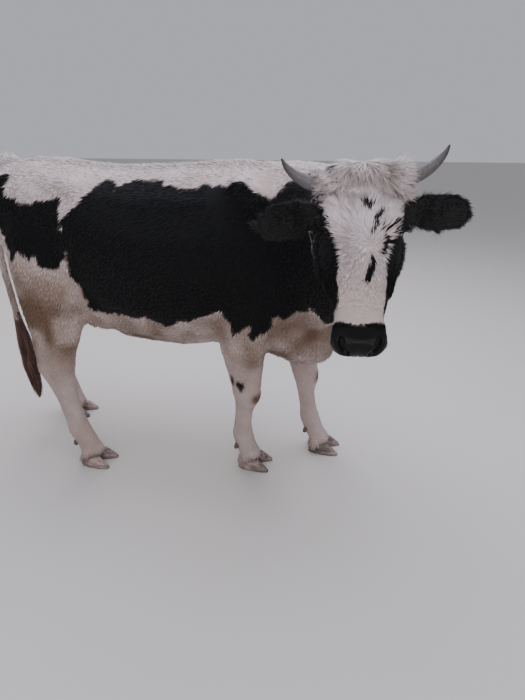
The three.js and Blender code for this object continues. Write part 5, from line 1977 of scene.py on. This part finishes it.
# %% [markdown]
# ## Neck chain
# A tethered cow wears a plain welded chain. Each link is a wire bent into a long loop, and every
# second link is turned on its side. The solid of the frame gives the chain's course round the
# neck: its points are gathered by their angle round the neck into one closed line. One link is
# built of bridged circles, and copies of it are set along the course.

# %% Links of round wire
WIRE = 0.0048
LINK_LONG, LINK_WIDE = 0.042, 0.025  # outer sizes of a link
TWIST = math.radians(38)  # each link leans this far from flat, one way and then the other
PROUD = 0.004  # how far the links' middles lie outside the course
CREST_BAND, CREST_SINK = 0.045, 0.009  # near the top of the neck, links lie deeper in the hair
LINK_SLACK = 0.0006
COURSE_STEPS = 1000


def chain_course(count):
    """The closed middle line of the chain and the way out of the neck at each of its points."""
    cloud = np.array([v.co for v in nodes["neck_chain"].data.vertices])
    centre = cloud.mean(axis=0)
    _, _, axes = np.linalg.svd(cloud - centre, full_matrices=False)
    local = (cloud - centre) @ axes.T
    turn = np.arctan2(local[:, 1], local[:, 0])
    reach = np.hypot(local[:, 0], local[:, 1])
    ring = []
    for angle in np.linspace(-math.pi, math.pi, 48, endpoint=False):
        gap = np.angle(np.exp(1j * (turn - angle)))
        share = np.exp(-(gap / 0.11) ** 2)
        share = share / share.sum()
        far = share @ reach
        ring.append([far * math.cos(angle), far * math.sin(angle), share @ local[:, 2]])
    ring = np.array(ring) @ axes + centre
    closed = smooth_line(np.concatenate([ring, ring[:1]]), count + 1)[:-1]
    outward = unit(closed - centre)
    return closed, outward


def link_loop(steps=10):
    """Middle line of one link's wire in its own plane, long way along X."""
    half, bend = (LINK_LONG - LINK_WIDE) / 2, (LINK_WIDE - WIRE) / 2
    turns = np.linspace(-math.pi / 2, math.pi / 2, steps)
    right = np.stack([half + bend * np.cos(turns), bend * np.sin(turns)], axis=1)
    return np.concatenate([right, -right])


def link_mesh(around=8):
    """One link in its own plane: circles round its middle line, bridged into a closed loop."""
    loop = link_loop()
    bm, rims = bmesh.new(), []
    for (x, y), before, after in zip(loop, np.roll(loop, 1, axis=0), np.roll(loop, -1, axis=0)):
        along = unit(after - before)
        rims.append(ring_round(bm, [x, y, 0], [along[1], -along[0], 0], [0, 0, 1], WIRE / 2, around))
    for a, b in zip(rims, rims[1:] + rims[:1]):
        bmesh.ops.bridge_loops(bm, edges=a + b)
    bmesh.ops.recalc_face_normals(bm, faces=bm.faces)
    mesh = bpy.data.meshes.new("link")
    bm.to_mesh(mesh)
    bm.free()
    return mesh


def chain_piece():
    """Copies of one link along the course, leaned one way and then the other, as a bmesh."""
    course, outward = chain_course(COURSE_STEPS)
    length = norm(course - np.roll(course, -1, axis=0), axis=1).sum()
    count = int(round(length / (LINK_LONG - 2 * WIRE - LINK_SLACK)))
    count += count % 2
    top = course[:, 2].max()
    pattern = link_mesh()
    bm = bmesh.new()
    for k in range(count):
        i = int(round(k * COURSE_STEPS / count)) % COURSE_STEPS
        way = unit(course[(i + 8) % COURSE_STEPS] - course[i - 8])
        out = unit(outward[i] - way * (outward[i] @ way))
        side = np.cross(way, out)
        lean = TWIST if k % 2 else -TWIST + math.radians(4)
        flat = side * math.cos(lean) + out * math.sin(lean)
        pressed = fade(top - CREST_BAND, top, course[i, 2])
        place = course[i] + (PROUD - CREST_SINK * pressed) * out
        seat = np.eye(4)
        seat[:3] = np.column_stack([way, flat, np.cross(way, flat), place])
        link = pattern.copy()
        link.transform(Matrix(seat))
        bm.from_mesh(link)
        bpy.data.meshes.remove(link)
    bpy.data.meshes.remove(pattern)
    print("chain:", count, "links round", round(length, 3), "m")
    return bm


def steel_material():
    """Zinc-coated steel, dull and dirty, rubbed bright in spots."""
    material, tree, shader = new_material("worn_galvanised_steel")
    place = add(tree, "TexCoord").outputs["Object"]
    wear = add(tree, "TexNoise", Vector=place, Scale=1 / 0.012, Detail=4.0).outputs["Fac"]
    colour = ramp(tree, wear, [(0.35, "#4a4744"), (0.55, "#85868a"), (0.75, "#a9abb0")])
    rough = add(tree, "MapRange", Value=wear, From_Min=0.3, From_Max=0.7, To_Min=0.62, To_Max=0.36)
    feed(shader, Base_Color=colour, Metallic=0.85, Roughness=rough)
    return material


write_piece("neck_chain_links", chain_piece(), steel_material(), ("neck_chain",))

# %% [markdown]
# ## Sizes, and the end
# The two boxes are printed one after the other: the coat should fill the solids to within a few
# per cent, and never grow far past them.

# %% Print the boxes and finish
new_box = [list(corner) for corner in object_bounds()]
for label, box in (("solids", cad_box), ("finished", new_box)):
    print(label, [[round(x, 4) for x in corner] for corner in box])
